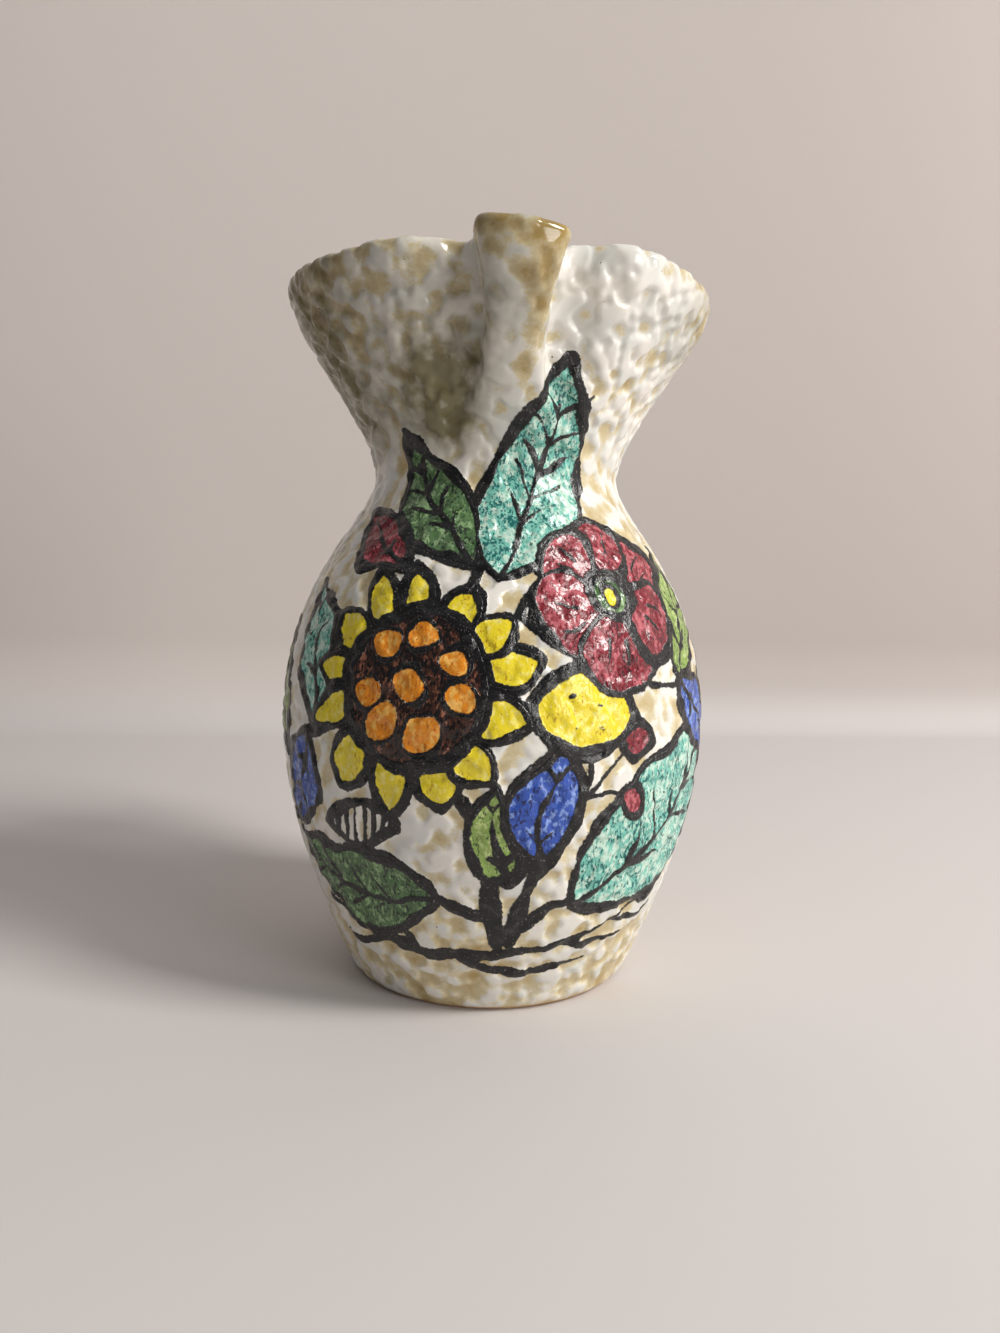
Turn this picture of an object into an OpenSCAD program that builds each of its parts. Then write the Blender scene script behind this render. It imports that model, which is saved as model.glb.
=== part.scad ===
// Tall glazed earthenware pitcher, free standing.
// Units are millimetres, +Z is up, and the origin is the centre of the foot on the table.
// The pouring gutter points towards -Y and the handle towards +Y.

/* [Foot] */
// Radius of the foot ring where it meets the table
foot_r = 58; // [50:0.5:61]
// Height of the foot ring, which is also the level of the floor inside
foot_h = 10; // [7:0.5:16]
// Width of the foot ring's flat underside
foot_ring_w = 9; // [5:0.5:14]
// How far the underside is turned away inside the foot ring
foot_recess = 2; // [1:0.25:4]
// How far the middle of the floor lies below its edge
floor_dish = 1.5; // [0.5:0.25:3]

/* [Body] */
// Outer radius at the top of the foot ring
toe_r = 64.5; // [62:0.5:70]
// Outer radius at the girth
belly_r = 90.5; // [82:0.5:100]
// Height of the girth
belly_h = 108; // [90:1:130]
// Outer radius at the waist
waist_r = 51.5; // [44:0.5:58]
// Height of the waist
waist_h = 211; // [194:1:226]
// Thickness of the thrown wall
wall = 6; // [4:0.25:8]

/* [Mouth] */
// Outer radius of the round rim
rim_r = 87.5; // [79:0.5:96]
// Height of the round rim
rim_h = 287; // [266:1:310]
// Thickness of the wall at the rounded lip
lip_t = 5.5; // [4:0.25:8]

/* [Pouring gutter] */
// Half of the angle of the front sector that the gutter is pulled from
gutter_sector = 42; // [36:1:48]
// How far the gutter's nose stands out beyond the round rim
gutter_pull = 13; // [10:0.5:16]
// Half of the gutter's width at its lip
gutter_lip_w = 17; // [13:0.5:19]
// Half of the gutter's width at its narrowest
gutter_waist_w = 10.5; // [9:0.5:12]
// Thickness of the gutter's side walls
gutter_side_t = 5; // [4:0.25:6]
// How far the gutter's lip stands above the rim
gutter_rise = 2.8; // [1.5:0.1:4.5]
// How much higher one end of the gutter's lip is than the other
gutter_tilt = 3; // [0:0.25:5]
// How far the wall is pressed in beside the gutter
crease_in = 12; // [8:0.5:14]
// Distance from the gutter's side to the far edge of the pressed crease
crease_w = 16; // [10:0.5:18]
// How far the nose of the gutter is rounded back at its corners
nose_round = 2.5; // [1:0.25:4]

/* [Handle] */
// Width of the strap at its top end
strap_top_w = 33; // [26:1:40]
// Width of the strap at its bottom end
strap_base_w = 25; // [20:1:32]
// Thickness of the strap at its top end
strap_top_t = 13; // [10:0.5:15]
// Thickness of the strap at its bottom end
strap_base_t = 11; // [9:0.5:13]
// Depth of the thumb groove along the back of the strap
strap_groove = 1.2; // [0:0.1:2]
// How far the upper end of the strap stands off the wall
top_root_l = 12; // [10:0.5:14]
// How far the lower end of the strap stands off the wall
base_root_l = 14; // [12:0.5:17]
// How far the strap runs on in its first direction at the top
top_lead = 45; // [38:1:54]
// How far the strap runs on in its last direction at the bottom
base_lead = 57; // [48:1:66]
// Turn of the strap's first direction up from the outward direction of the wall, in degrees
top_angle = 43; // [33:1:53]
// Turn of the strap's last direction up from the outward direction of the wall, in degrees
base_angle = 34; // [25:1:41]

/* [Hidden] */

// Steps along each curve of the profile
foot_steps = 6;
wall_steps = 16;
mouth_steps = 18;
lip_steps = 6;
// Steps between two control points of the gutter's section
section_steps = 2;
// Rings and sides of the strap, and rings of each root
strap_rings = 28;
strap_sides = 20;
root_rings = 6;

// Handles of the profile's curves, as shares of the run and rise of each curve
foot_bulge_shares = [0.55, 0.2];
toe_run_share = 0.31;
toe_rise_share = 0.18;
belly_below_share = 0.41;
belly_above_share = 0.6;
waist_below_share = 0.155;
waist_above_share = 0.29;
rim_below_share = 0.205;

// Where the gutter begins, as a share of the height from waist to rim
gutter_root_share = 0.18;
// Where the gutter is narrowest, as a share of its own height
gutter_narrow_share = 0.5;
// How fast the pull grows from its root, and how late the lip rises
pull_power = 1.35;
rise_power = 5;
// Place of each control point across half of the gutter, as a share of its half width, where it stands
// out in full and where it begins
nose_shares = [0, 0.55, 1, 1.04, 0.96, 1];
root_shares = [0, 0.4, 0.75, 1, 1.2, 1.4];
// How far each of them is pulled out, as a share of the nose's pull, down to the pressed crease
pull_shares = [1, 1, 0.94, 0.7, 0.2, 0];
// How far each of them rises with the lip
lift_shares = [1, 1, 1, 0.7, 0.2, 0];
// Length of the section's last leg along the sector's end, as a share of half the chord
end_leg_share = 0.3;
// Share of the crease's depth that is left at its far side
crease_far_share = 0.45;

// Places of the handle's seats along the curves of the mouth and the shoulder
top_seat_share = 0.7;
base_seat_share = 0.27;
// Growth of each root from the strap to the wall, in width and in thickness
top_flare_shares = [0.35, 0.9];
base_flare_shares = [0.45, 1.3];
// How far each root runs on inside the wall before it is trimmed, as a share of the wall
root_bury_share = 1.5;
// Width of the thumb groove as a share of the strap's width, and how square the strap's edges are
groove_share = 0.22;
edge_power = 0.8;

// Small amount that keeps a quotient defined when the lip has no rise
bit = 0.001;
lip_r = lip_t / 2;
lip_h = rim_h - lip_r;
disc_r = foot_r - foot_ring_w;
// The wall leans out at the toe, so it measures more across than through
toe_run = toe_run_share * (belly_r - toe_r);
toe_rise = toe_rise_share * (belly_h - foot_h);
toe_across = wall * norm([toe_run, toe_rise]) / toe_rise;

// Point at share t of a cubic curve with two ends and two handles
function cubic(p, t) =
    pow(1 - t, 3) * p[0] + 3 * t * pow(1 - t, 2) * p[1] + 3 * t * t * (1 - t) * p[2] + pow(t, 3) * p[3];
function cubic_points(p, n) = [for (i = [0 : n]) cubic(p, i / n)];
function reversed(list) = [for (i = [len(list) - 1 : -1 : 0]) list[i]];
function mix(a, b, t) = a + (b - a) * t;
function clamp(x) = min(1, max(0, x));

// The profile's curves as [radius, height], for a wall whose face stands in by the given amounts
function belly_curve(toe_in, belly_in) = [
    [toe_r - toe_in, foot_h],
    [toe_r - toe_in + toe_run, foot_h + toe_rise],
    [belly_r - belly_in, belly_h - belly_below_share * (belly_h - foot_h)],
    [belly_r - belly_in, belly_h]
];
function shoulder_curve(belly_in, waist_in) = [
    [belly_r - belly_in, belly_h],
    [belly_r - belly_in, belly_h + belly_above_share * (waist_h - belly_h)],
    [waist_r - waist_in, waist_h - waist_below_share * (waist_h - belly_h)],
    [waist_r - waist_in, waist_h]
];
function mouth_curve(waist_in, rim_in) = [
    [waist_r - waist_in, waist_h],
    [waist_r - waist_in, waist_h + waist_above_share * (lip_h - waist_h)],
    [rim_r - rim_in, lip_h - rim_below_share * (lip_h - waist_h)],
    [rim_r - rim_in, lip_h]
];
function lip_arc() = [
    for (i = [1 : lip_steps - 1])
        let (a = 180 * i / lip_steps)
            [rim_r - lip_r + lip_r * cos(a), lip_h + lip_r * sin(a)]
];

belly_outer = cubic_points(belly_curve(0, 0), wall_steps);
belly_inner = cubic_points(belly_curve(toe_across, wall), wall_steps);
shoulder_outer = cubic_points(shoulder_curve(0, 0), wall_steps);
shoulder_inner = cubic_points(shoulder_curve(wall, wall), wall_steps);
mouth_outer = cubic_points(mouth_curve(0, 0), mouth_steps);
mouth_inner = cubic_points(mouth_curve(wall, lip_t), mouth_steps);
mouth_profile = concat(mouth_outer, lip_arc(), reversed(mouth_inner));

// Sweeps a list of closed rings of equal length into one solid with flat fans at its ends
module ring_sweep(rings) {
    n = len(rings);
    m = len(rings[0]);
    points = concat([for (r = rings) each r], [ring_middle(rings[0])], [ring_middle(rings[n - 1])]);
    sides = [
        for (i = [0 : n - 2], j = [0 : m - 1])
            let (a = i * m + j, b = i * m + (j + 1) % m)
                each [[a, b + m, b], [a, a + m, b + m]]
    ];
    first_end = [for (j = [0 : m - 1]) [n * m, j, (j + 1) % m]];
    last_end = [for (j = [0 : m - 1]) [n * m + 1, (n - 1) * m + (j + 1) % m, (n - 1) * m + j]];
    polyhedron(points = points, faces = concat(sides, first_end, last_end));
}
function ring_middle(ring) = [for (k = [0 : 2]) sum([for (p = ring) p[k]]) / len(ring)];
function sum(list) = list * [for (x = list) 1];

// Height of a profile point as a share of the gutter's own height
function gutter_share(z) =
    clamp(((z - waist_h) / (rim_h - waist_h) - gutter_root_share) / (1 - gutter_root_share));
// Half width of the gutter, wide at its root, narrow in the middle and wide at its lip
function gutter_half(q) =
    mix(gutter_waist_w, gutter_lip_w, pow((q - gutter_narrow_share) / (1 - gutter_narrow_share), 2));
// How far across the lip a profile point lies, from 0 outside to 1 inside
function across_lip(j) = clamp((j - mouth_steps) / lip_steps);
// Point at lateral place x on a circle of radius r, then pulled out and lifted, as [x, out, lift]
function on_circle(r, x, out, lift) = [x, sqrt(r * r - x * x) + out, lift];

// Control points of half a section at profile point j, from the middle of the nose to the sector's end
function half_section(j) =
    let (
        r = mouth_profile[j][0],
        q = gutter_share(mouth_profile[j][1]),
        half = gutter_half(q) - across_lip(j) * gutter_side_t,
        pull = pow(sin(90 * q), pull_power),
        lift = pow(q, rise_power) * gutter_rise,
        chord = r * sin(gutter_sector),
        leg = end_leg_share * chord,
        side = half * mix(root_shares[5], nose_shares[5], pull),
        near = min(gutter_half(q) + crease_w / 2, mix(side, chord - leg, 1 / 3)),
        far = min(gutter_half(q) + crease_w, mix(side, chord - leg, 2 / 3))
    )
    concat(
        [
            for (k = [0 : len(nose_shares) - 1])
                let (
                    u = mix(root_shares[k], nose_shares[k], pull),
                    out = pull_shares[k],
                    reach = mix(-crease_in, gutter_pull, out) - nose_round * u * u * out
                )
                on_circle(r, half * u, pull * reach, lift * lift_shares[k])
        ],
        [
            on_circle(r, max(side, near), -pull * crease_in, 0),
            on_circle(r, far, -pull * crease_in * crease_far_share, 0),
            [
                chord - leg * cos(gutter_sector),
                r * cos(gutter_sector) + leg * sin(gutter_sector),
                0
            ],
            [chord, r * cos(gutter_sector), 0]
        ]
    );
// The whole section, from one end of the sector to the other, with its lip tilted
function section(j) =
    let (
        c = half_section(j),
        n = len(c) - 1,
        whole = concat([for (k = [n : -1 : 1]) [-c[k][0], c[k][1], c[k][2]]], c)
    )
    concat(
        [whole[0], whole[0]],
        [
            for (p = whole)
                [p[0], p[1], p[2] * (1 - gutter_tilt / (2 * gutter_rise + bit) * p[0] / gutter_lip_w)]
        ],
        [whole[2 * n], whole[2 * n]]
    );
// Point of a uniform cubic spline over the list c, at t from 0 to len(c) - 3
function spline(c, t) =
    let (
        i = min(floor(t), len(c) - 4),
        u = t - i,
        w = [pow(1 - u, 3), 3 * pow(u, 3) - 6 * u * u + 4, 3 * (u + u * u - pow(u, 3)) + 1, pow(u, 3)]
    )
    (w[0] * c[i] + w[1] * c[i + 1] + w[2] * c[i + 2] + w[3] * c[i + 3]) / 6;

// Direction of a curve of three or four points at share t
function along3(p, t) = unit((1 - t) * (p[1] - p[0]) + t * (p[2] - p[1]));
function along4(p, t) =
    unit(pow(1 - t, 2) * (p[1] - p[0]) + 2 * t * (1 - t) * (p[2] - p[1]) + t * t * (p[3] - p[2]));
function unit(v) = v / norm(v);
// Outward direction of the wall at share t of one of the profile's curves
function outward(p, t) = let (d = along4(p, t)) [d[1], -d[0]];
// That outward direction, turned up by an angle
function leaving(p, t, angle) =
    let (d = outward(p, t))
        [d[0] * cos(angle) - d[1] * sin(angle), d[0] * sin(angle) + d[1] * cos(angle)];
// Centre line of the strap in the plane of the handle, as [distance from the axis, height]
top_seat = cubic(mouth_curve(0, 0), top_seat_share);
base_seat = cubic(shoulder_curve(0, 0), base_seat_share);
top_way = leaving(mouth_curve(0, 0), top_seat_share, top_angle);
base_way = leaving(shoulder_curve(0, 0), base_seat_share, base_angle);
strap_start = top_seat + top_root_l * top_way;
strap_end = base_seat + base_root_l * base_way;
strap_line = [
    strap_start,
    strap_start + top_lead * top_way,
    strap_end + base_lead * base_way,
    strap_end
];
// One ring of the strap: an oval with squared edges and a groove along its back
function strap_ring(middle, along, w, t) = [
    for (i = [0 : strap_sides - 1])
        let (
            a = -360 * i / strap_sides,
            u = sign(cos(a)) * pow(abs(cos(a)), edge_power),
            v = sign(sin(a)) * pow(abs(sin(a)), edge_power),
            groove = v > 0 ? strap_groove * exp(-pow(u / (2 * groove_share), 2)) : 0,
            side = [-along[1], along[0]],
            q = middle + (v * t / 2 - groove) * side
        )
        [u * w / 2, q[0], q[1]]
];
// Rings of a root along its curve of three points, swelling as it nears the wall
function root_rings_of(line, w, t, flares, wall_first) = [
    for (i = [0 : root_rings])
        let (
            s = i / root_rings,
            near = pow(wall_first ? 1 - s : s, 2),
            middle = pow(1 - s, 2) * line[0] + 2 * s * (1 - s) * line[1] + s * s * line[2]
        )
            strap_ring(middle, along3(line, s), w * (1 + flares[0] * near), t * (1 + flares[1] * near))
];
top_root_line = [
    top_seat - root_bury_share * wall * outward(mouth_curve(0, 0), top_seat_share),
    top_seat,
    strap_start
];
base_root_line = [
    strap_end,
    base_seat,
    base_seat - root_bury_share * wall * outward(shoulder_curve(0, 0), base_seat_share)
];

// Foot ring that the pitcher stands on, with the toe of the wall on its outside
module foot_ring() {
    bulge = [
        [foot_r, 0],
        [mix(foot_r, toe_r, foot_bulge_shares[0]), foot_h * foot_bulge_shares[1]],
        [toe_r - toe_run * (foot_h / toe_rise) / 2, foot_h / 2],
        [toe_r, foot_h]
    ];
    color("wheat")
        rotate_extrude($fn = 96)
            polygon(concat(cubic_points(bulge, foot_steps), [[disc_r, foot_h], [disc_r, 0]]));
}

// Disc of clay inside the foot ring, turned away below and dished above
module base_disc() {
    dish = [
        for (i = [0 : foot_steps])
            let (s = 1 - i / foot_steps)
                [disc_r * s, foot_h - floor_dish * (1 - s * s)]
    ];
    color("tan")
        rotate_extrude($fn = 96)
            polygon(concat([[0, foot_recess], [disc_r, foot_recess]], dish));
}

// Lower thrown wall, from the foot ring to the girth
module belly_wall() {
    color("ivory")
        rotate_extrude($fn = 96)
            polygon(concat(belly_outer, reversed(belly_inner)));
}

// Upper thrown wall, from the girth in to the waist
module shoulder_wall() {
    color("ivory")
        rotate_extrude($fn = 96)
            polygon(concat(shoulder_outer, reversed(shoulder_inner)));
}

// Flared wall of the mouth with its rounded lip, open at the front where the gutter sits
module mouth_wall() {
    color("oldlace")
        rotate_extrude(angle = 360 - 2 * gutter_sector, start = gutter_sector - 90, $fn = 96)
            polygon(mouth_profile);
}

// Front sector of the mouth, pulled forward into a narrow gutter with a raised lip
module pouring_gutter() {
    m = len(mouth_profile);
    last = section_steps * (len(section(0)) - 3);
    columns = [
        for (j = [0 : m - 1])
            let (c = section(j))
                [for (i = [0 : last]) spline(c, i / section_steps)]
    ];
    points = [
        for (i = [0 : last], j = [0 : m - 1])
            let (p = columns[j][i])
                [p[0], -p[1], mouth_profile[j][1] + p[2]]
    ];
    skin = [
        for (i = [0 : last - 1], j = [0 : m - 1])
            let (a = i * m + j, b = i * m + (j + 1) % m)
                each [[a, b, b + m], [a, b + m, a + m]]
    ];
    // Each end is closed by strips from the outer face to the inner face
    first_end = [
        for (j = [0 : floor(m / 2) - 2])
            each [[j, m - 2 - j, j + 1], [j, m - 1 - j, m - 2 - j]]
    ];
    // An odd profile leaves one triangle at the top of the lip
    crown = floor(m / 2) - 1;
    crown_end = m % 2 == 0 ? [] : [[crown, crown + 2, crown + 1]];
    first_faces = concat(first_end, crown_end);
    last_faces = [for (f = first_faces) [for (k = [2 : -1 : 0]) f[k] + last * m]];
    color("oldlace")
        polyhedron(points = points, faces = concat(skin, first_faces, last_faces));
}

// Pulled strap of the handle, between its two roots
module handle_strap() {
    rings = [
        for (i = [0 : strap_rings])
            let (t = i / strap_rings)
                strap_ring(
                    cubic(strap_line, t),
                    along4(strap_line, t),
                    mix(strap_top_w, strap_base_w, t),
                    mix(strap_top_t, strap_base_t, t)
                )
    ];
    color("linen") ring_sweep(rings);
}

// Clay that joins the strap to the flared wall under the rim
module handle_upper_root() {
    above = rim_h + strap_top_t;
    color("linen")
        difference() {
            ring_sweep(root_rings_of(top_root_line, strap_top_w, strap_top_t, top_flare_shares, true));
            rotate_extrude($fn = 96)
                polygon(concat([[0, above], [0, waist_h]], mouth_outer, [[rim_r, above]]));
        }
}

// Thumbed clay that joins the strap to the shoulder
module handle_lower_root() {
    color("linen")
        difference() {
            ring_sweep(root_rings_of(base_root_line, strap_base_w, strap_base_t, base_flare_shares, false));
            rotate_extrude($fn = 96)
                polygon(concat([[0, waist_h], [0, belly_h]], shoulder_outer));
        }
}

foot_ring();
base_disc();
belly_wall();
shoulder_wall();
mouth_wall();
pouring_gutter();
handle_strap();
handle_upper_root();
handle_lower_root();
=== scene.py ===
"""Looks of a glazed, hand-painted earthenware pitcher, fitted round its construction model.

The pot is one continuous skin of clay and glaze, worked out as a grid of rows, which follow the
profile from the middle of the underside over the lip to the middle of the floor, and of columns,
which go round the axis. Each piece of the construction takes its own rows and columns from that
skin, so the glaze runs on over every joint, as it does on a fired pot.

Lengths are in millimetres until a mesh is written, which is in metres.
"""

import logging
import math
from dataclasses import dataclass, field
from enum import Enum

import bpy
import numpy as np
from mathutils import Matrix, Vector


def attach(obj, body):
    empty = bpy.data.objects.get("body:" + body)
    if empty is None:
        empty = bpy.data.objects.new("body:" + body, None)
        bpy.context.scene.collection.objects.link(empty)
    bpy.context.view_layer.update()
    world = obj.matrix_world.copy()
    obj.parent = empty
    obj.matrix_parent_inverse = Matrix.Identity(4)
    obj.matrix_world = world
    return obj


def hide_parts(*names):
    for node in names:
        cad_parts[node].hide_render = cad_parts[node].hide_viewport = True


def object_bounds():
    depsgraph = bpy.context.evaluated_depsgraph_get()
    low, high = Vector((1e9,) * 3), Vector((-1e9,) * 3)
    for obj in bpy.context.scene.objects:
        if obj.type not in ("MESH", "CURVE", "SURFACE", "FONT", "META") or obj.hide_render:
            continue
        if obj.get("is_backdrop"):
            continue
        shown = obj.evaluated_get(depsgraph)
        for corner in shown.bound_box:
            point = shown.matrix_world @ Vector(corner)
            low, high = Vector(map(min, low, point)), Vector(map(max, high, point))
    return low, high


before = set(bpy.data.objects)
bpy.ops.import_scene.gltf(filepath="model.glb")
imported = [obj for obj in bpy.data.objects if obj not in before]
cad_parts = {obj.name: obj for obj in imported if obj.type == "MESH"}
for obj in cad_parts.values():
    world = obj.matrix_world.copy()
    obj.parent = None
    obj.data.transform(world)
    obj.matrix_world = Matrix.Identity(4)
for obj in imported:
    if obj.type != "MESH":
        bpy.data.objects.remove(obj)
CAD_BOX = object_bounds()

LOG = logging.getLogger("pitcher")
MM = 0.001
BODY = "root"
Array = np.ndarray
Socket = bpy.types.NodeSocket


# Curves and arrays


def mix(a: Array | float, b: Array | float, share: Array | float) -> Array | float:
    """Value at a share of the way from a to b."""
    return a + (b - a) * share


def clamp(x: Array | float) -> Array | float:
    """x held between 0 and 1."""
    return np.clip(x, 0.0, 1.0)


def smooth(low: float, high: float, x: Array) -> Array:
    """Smooth step: 3t^2 - 2t^3 of the share t of the way from low to high."""
    t = clamp((x - low) / (high - low))
    return t * t * (3.0 - 2.0 * t)


def bell(x: Array, middle: Array | float, width: float) -> Array:
    """Bell curve: e to the minus square of the distance from the middle in widths."""
    return np.exp(-(((x - middle) / width) ** 2))


def unit(v: Array) -> Array:
    """Vectors of length one along the last axis."""
    return v / np.maximum(np.linalg.norm(v, axis=-1, keepdims=True), 1e-12)


def bezier(points: list, t: Array) -> Array:
    """Points of a Bezier curve of any degree: the sum of the Bernstein weights times the controls.

    Args:
        points: Control points, all of one dimension.
        t: Shares along the curve, from 0 to 1.

    Returns:
        One point for each share.
    """
    controls = np.asarray(points, float)
    n = len(controls) - 1
    weights = np.stack([math.comb(n, k) * t**k * (1 - t) ** (n - k) for k in range(n + 1)], -1)
    return weights @ controls


def evenly(line: Array, count: int) -> Array:
    """The same line with count + 1 points at equal distances along it.

    Args:
        line: Points of a dense polyline.
        count: Steps wanted.

    Returns:
        Points by linear interpolation over the distance run along the line.
    """
    run = np.concatenate([[0.0], np.cumsum(np.linalg.norm(np.diff(line, axis=0), axis=1))])
    at = np.linspace(0.0, run[-1], count + 1)
    return np.stack([np.interp(at, run, line[:, k]) for k in range(line.shape[1])], -1)


def round_curve(points: Array, steps: int = 8) -> Array:
    """Catmull-Rom curve through the points, from the first to the last.

    Args:
        points: Points that the curve passes through.
        steps: Points in each span.

    Returns:
        The curve's points.
    """
    p = np.asarray(points, float)
    p = np.concatenate([2 * p[:1] - p[1:2], p, 2 * p[-1:] - p[-2:-1]])
    t = np.linspace(0, 1, steps, endpoint=False)[None, :, None]
    a, b, c, d = (p[k : len(p) - 3 + k, None, :] for k in range(4))
    spans = 0.5 * (2 * b + (c - a) * t + (2 * a - 5 * b + 4 * c - d) * t**2 + (3 * b - a - 3 * c + d) * t**3)
    return np.concatenate([spans.reshape(-1, p.shape[1]), p[-2:-1]])


@dataclass(frozen=True)
class RandomWaves:
    """Smooth random field in space: many cosine waves of one band of lengths, in random directions.

    The value is the sum of cos(k . p + phase) over the waves, scaled to a spread of about one.
    """

    seed: int
    shortest: float
    longest: float
    count: int = 36
    upright: float = 1.0

    def at(self, points: Array) -> Array:
        """Value of the field at each point.

        Args:
            points: Places in millimetres, with the coordinates on the last axis.

        Returns:
            One value for each place.
        """
        rng = np.random.default_rng(self.seed)
        directions = unit(rng.normal(size=(self.count, 3)))
        lengths = rng.uniform(self.shortest, self.longest, self.count)
        phases = rng.uniform(0, 2 * math.pi, self.count)
        vectors = directions * (2 * math.pi / lengths)[:, None]
        vectors[:, 2] /= self.upright
        total = np.zeros(points.shape[:-1], np.float32)
        flat = points.astype(np.float32)
        for vector, phase in zip(vectors.astype(np.float32), phases):
            total += np.cos(flat @ vector + np.float32(phase))
        return total * math.sqrt(2.0 / self.count)


# The pot's shape


@dataclass(frozen=True)
class PotSizes:
    """Driving sizes of the thrown pot and its pouring gutter, in millimetres and degrees."""

    foot_r: float = 58.0
    foot_h: float = 10.0
    foot_ring_w: float = 9.0
    foot_recess: float = 2.0
    floor_dish: float = 1.5
    toe_r: float = 64.5
    belly_r: float = 90.5
    belly_h: float = 108.0
    waist_r: float = 51.5
    waist_h: float = 211.0
    wall: float = 6.0
    rim_r: float = 87.5
    rim_h: float = 287.0
    lip_t: float = 5.5
    gutter_sector: float = 42.0
    gutter_pull: float = 13.0
    gutter_lip_w: float = 17.0
    gutter_waist_w: float = 10.5
    gutter_side_t: float = 5.0
    gutter_rise: float = 2.8
    gutter_tilt: float = 3.0
    crease_in: float = 12.0
    crease_w: float = 16.0
    nose_round: float = 2.5

    @property
    def lip_h(self) -> float:
        """Height of the lip's middle."""
        return self.rim_h - self.lip_t / 2

    @property
    def disc_r(self) -> float:
        """Radius of the disc of clay inside the foot ring."""
        return self.foot_r - self.foot_ring_w


class Zone(Enum):
    """Stretches of the skin, each with its place along the profile and its number of steps."""

    UNDER_DISC = (0, 22)
    UNDER_RING = (1, 18)
    FOOT = (2, 13)
    BELLY = (3, 108)
    SHOULDER = (4, 118)
    MOUTH = (5, 94)
    LIP = (6, 11)
    MOUTH_INSIDE = (7, 94)
    SHOULDER_INSIDE = (8, 28)
    BELLY_INSIDE = (9, 34)
    FLOOR_RING = (10, 6)
    FLOOR_DISC = (11, 18)

    @property
    def steps(self) -> int:
        """Steps of the skin along the stretch."""
        return self.value[1]


# Legs of the wall's curves as shares of run and rise: lower leg across, lower leg up, upper leg down
LEGS = {Zone.BELLY: (0.31, 0.18, 0.41), Zone.SHOULDER: (0.0, 0.6, 0.155), Zone.MOUTH: (0.0, 0.29, 0.205)}


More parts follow.
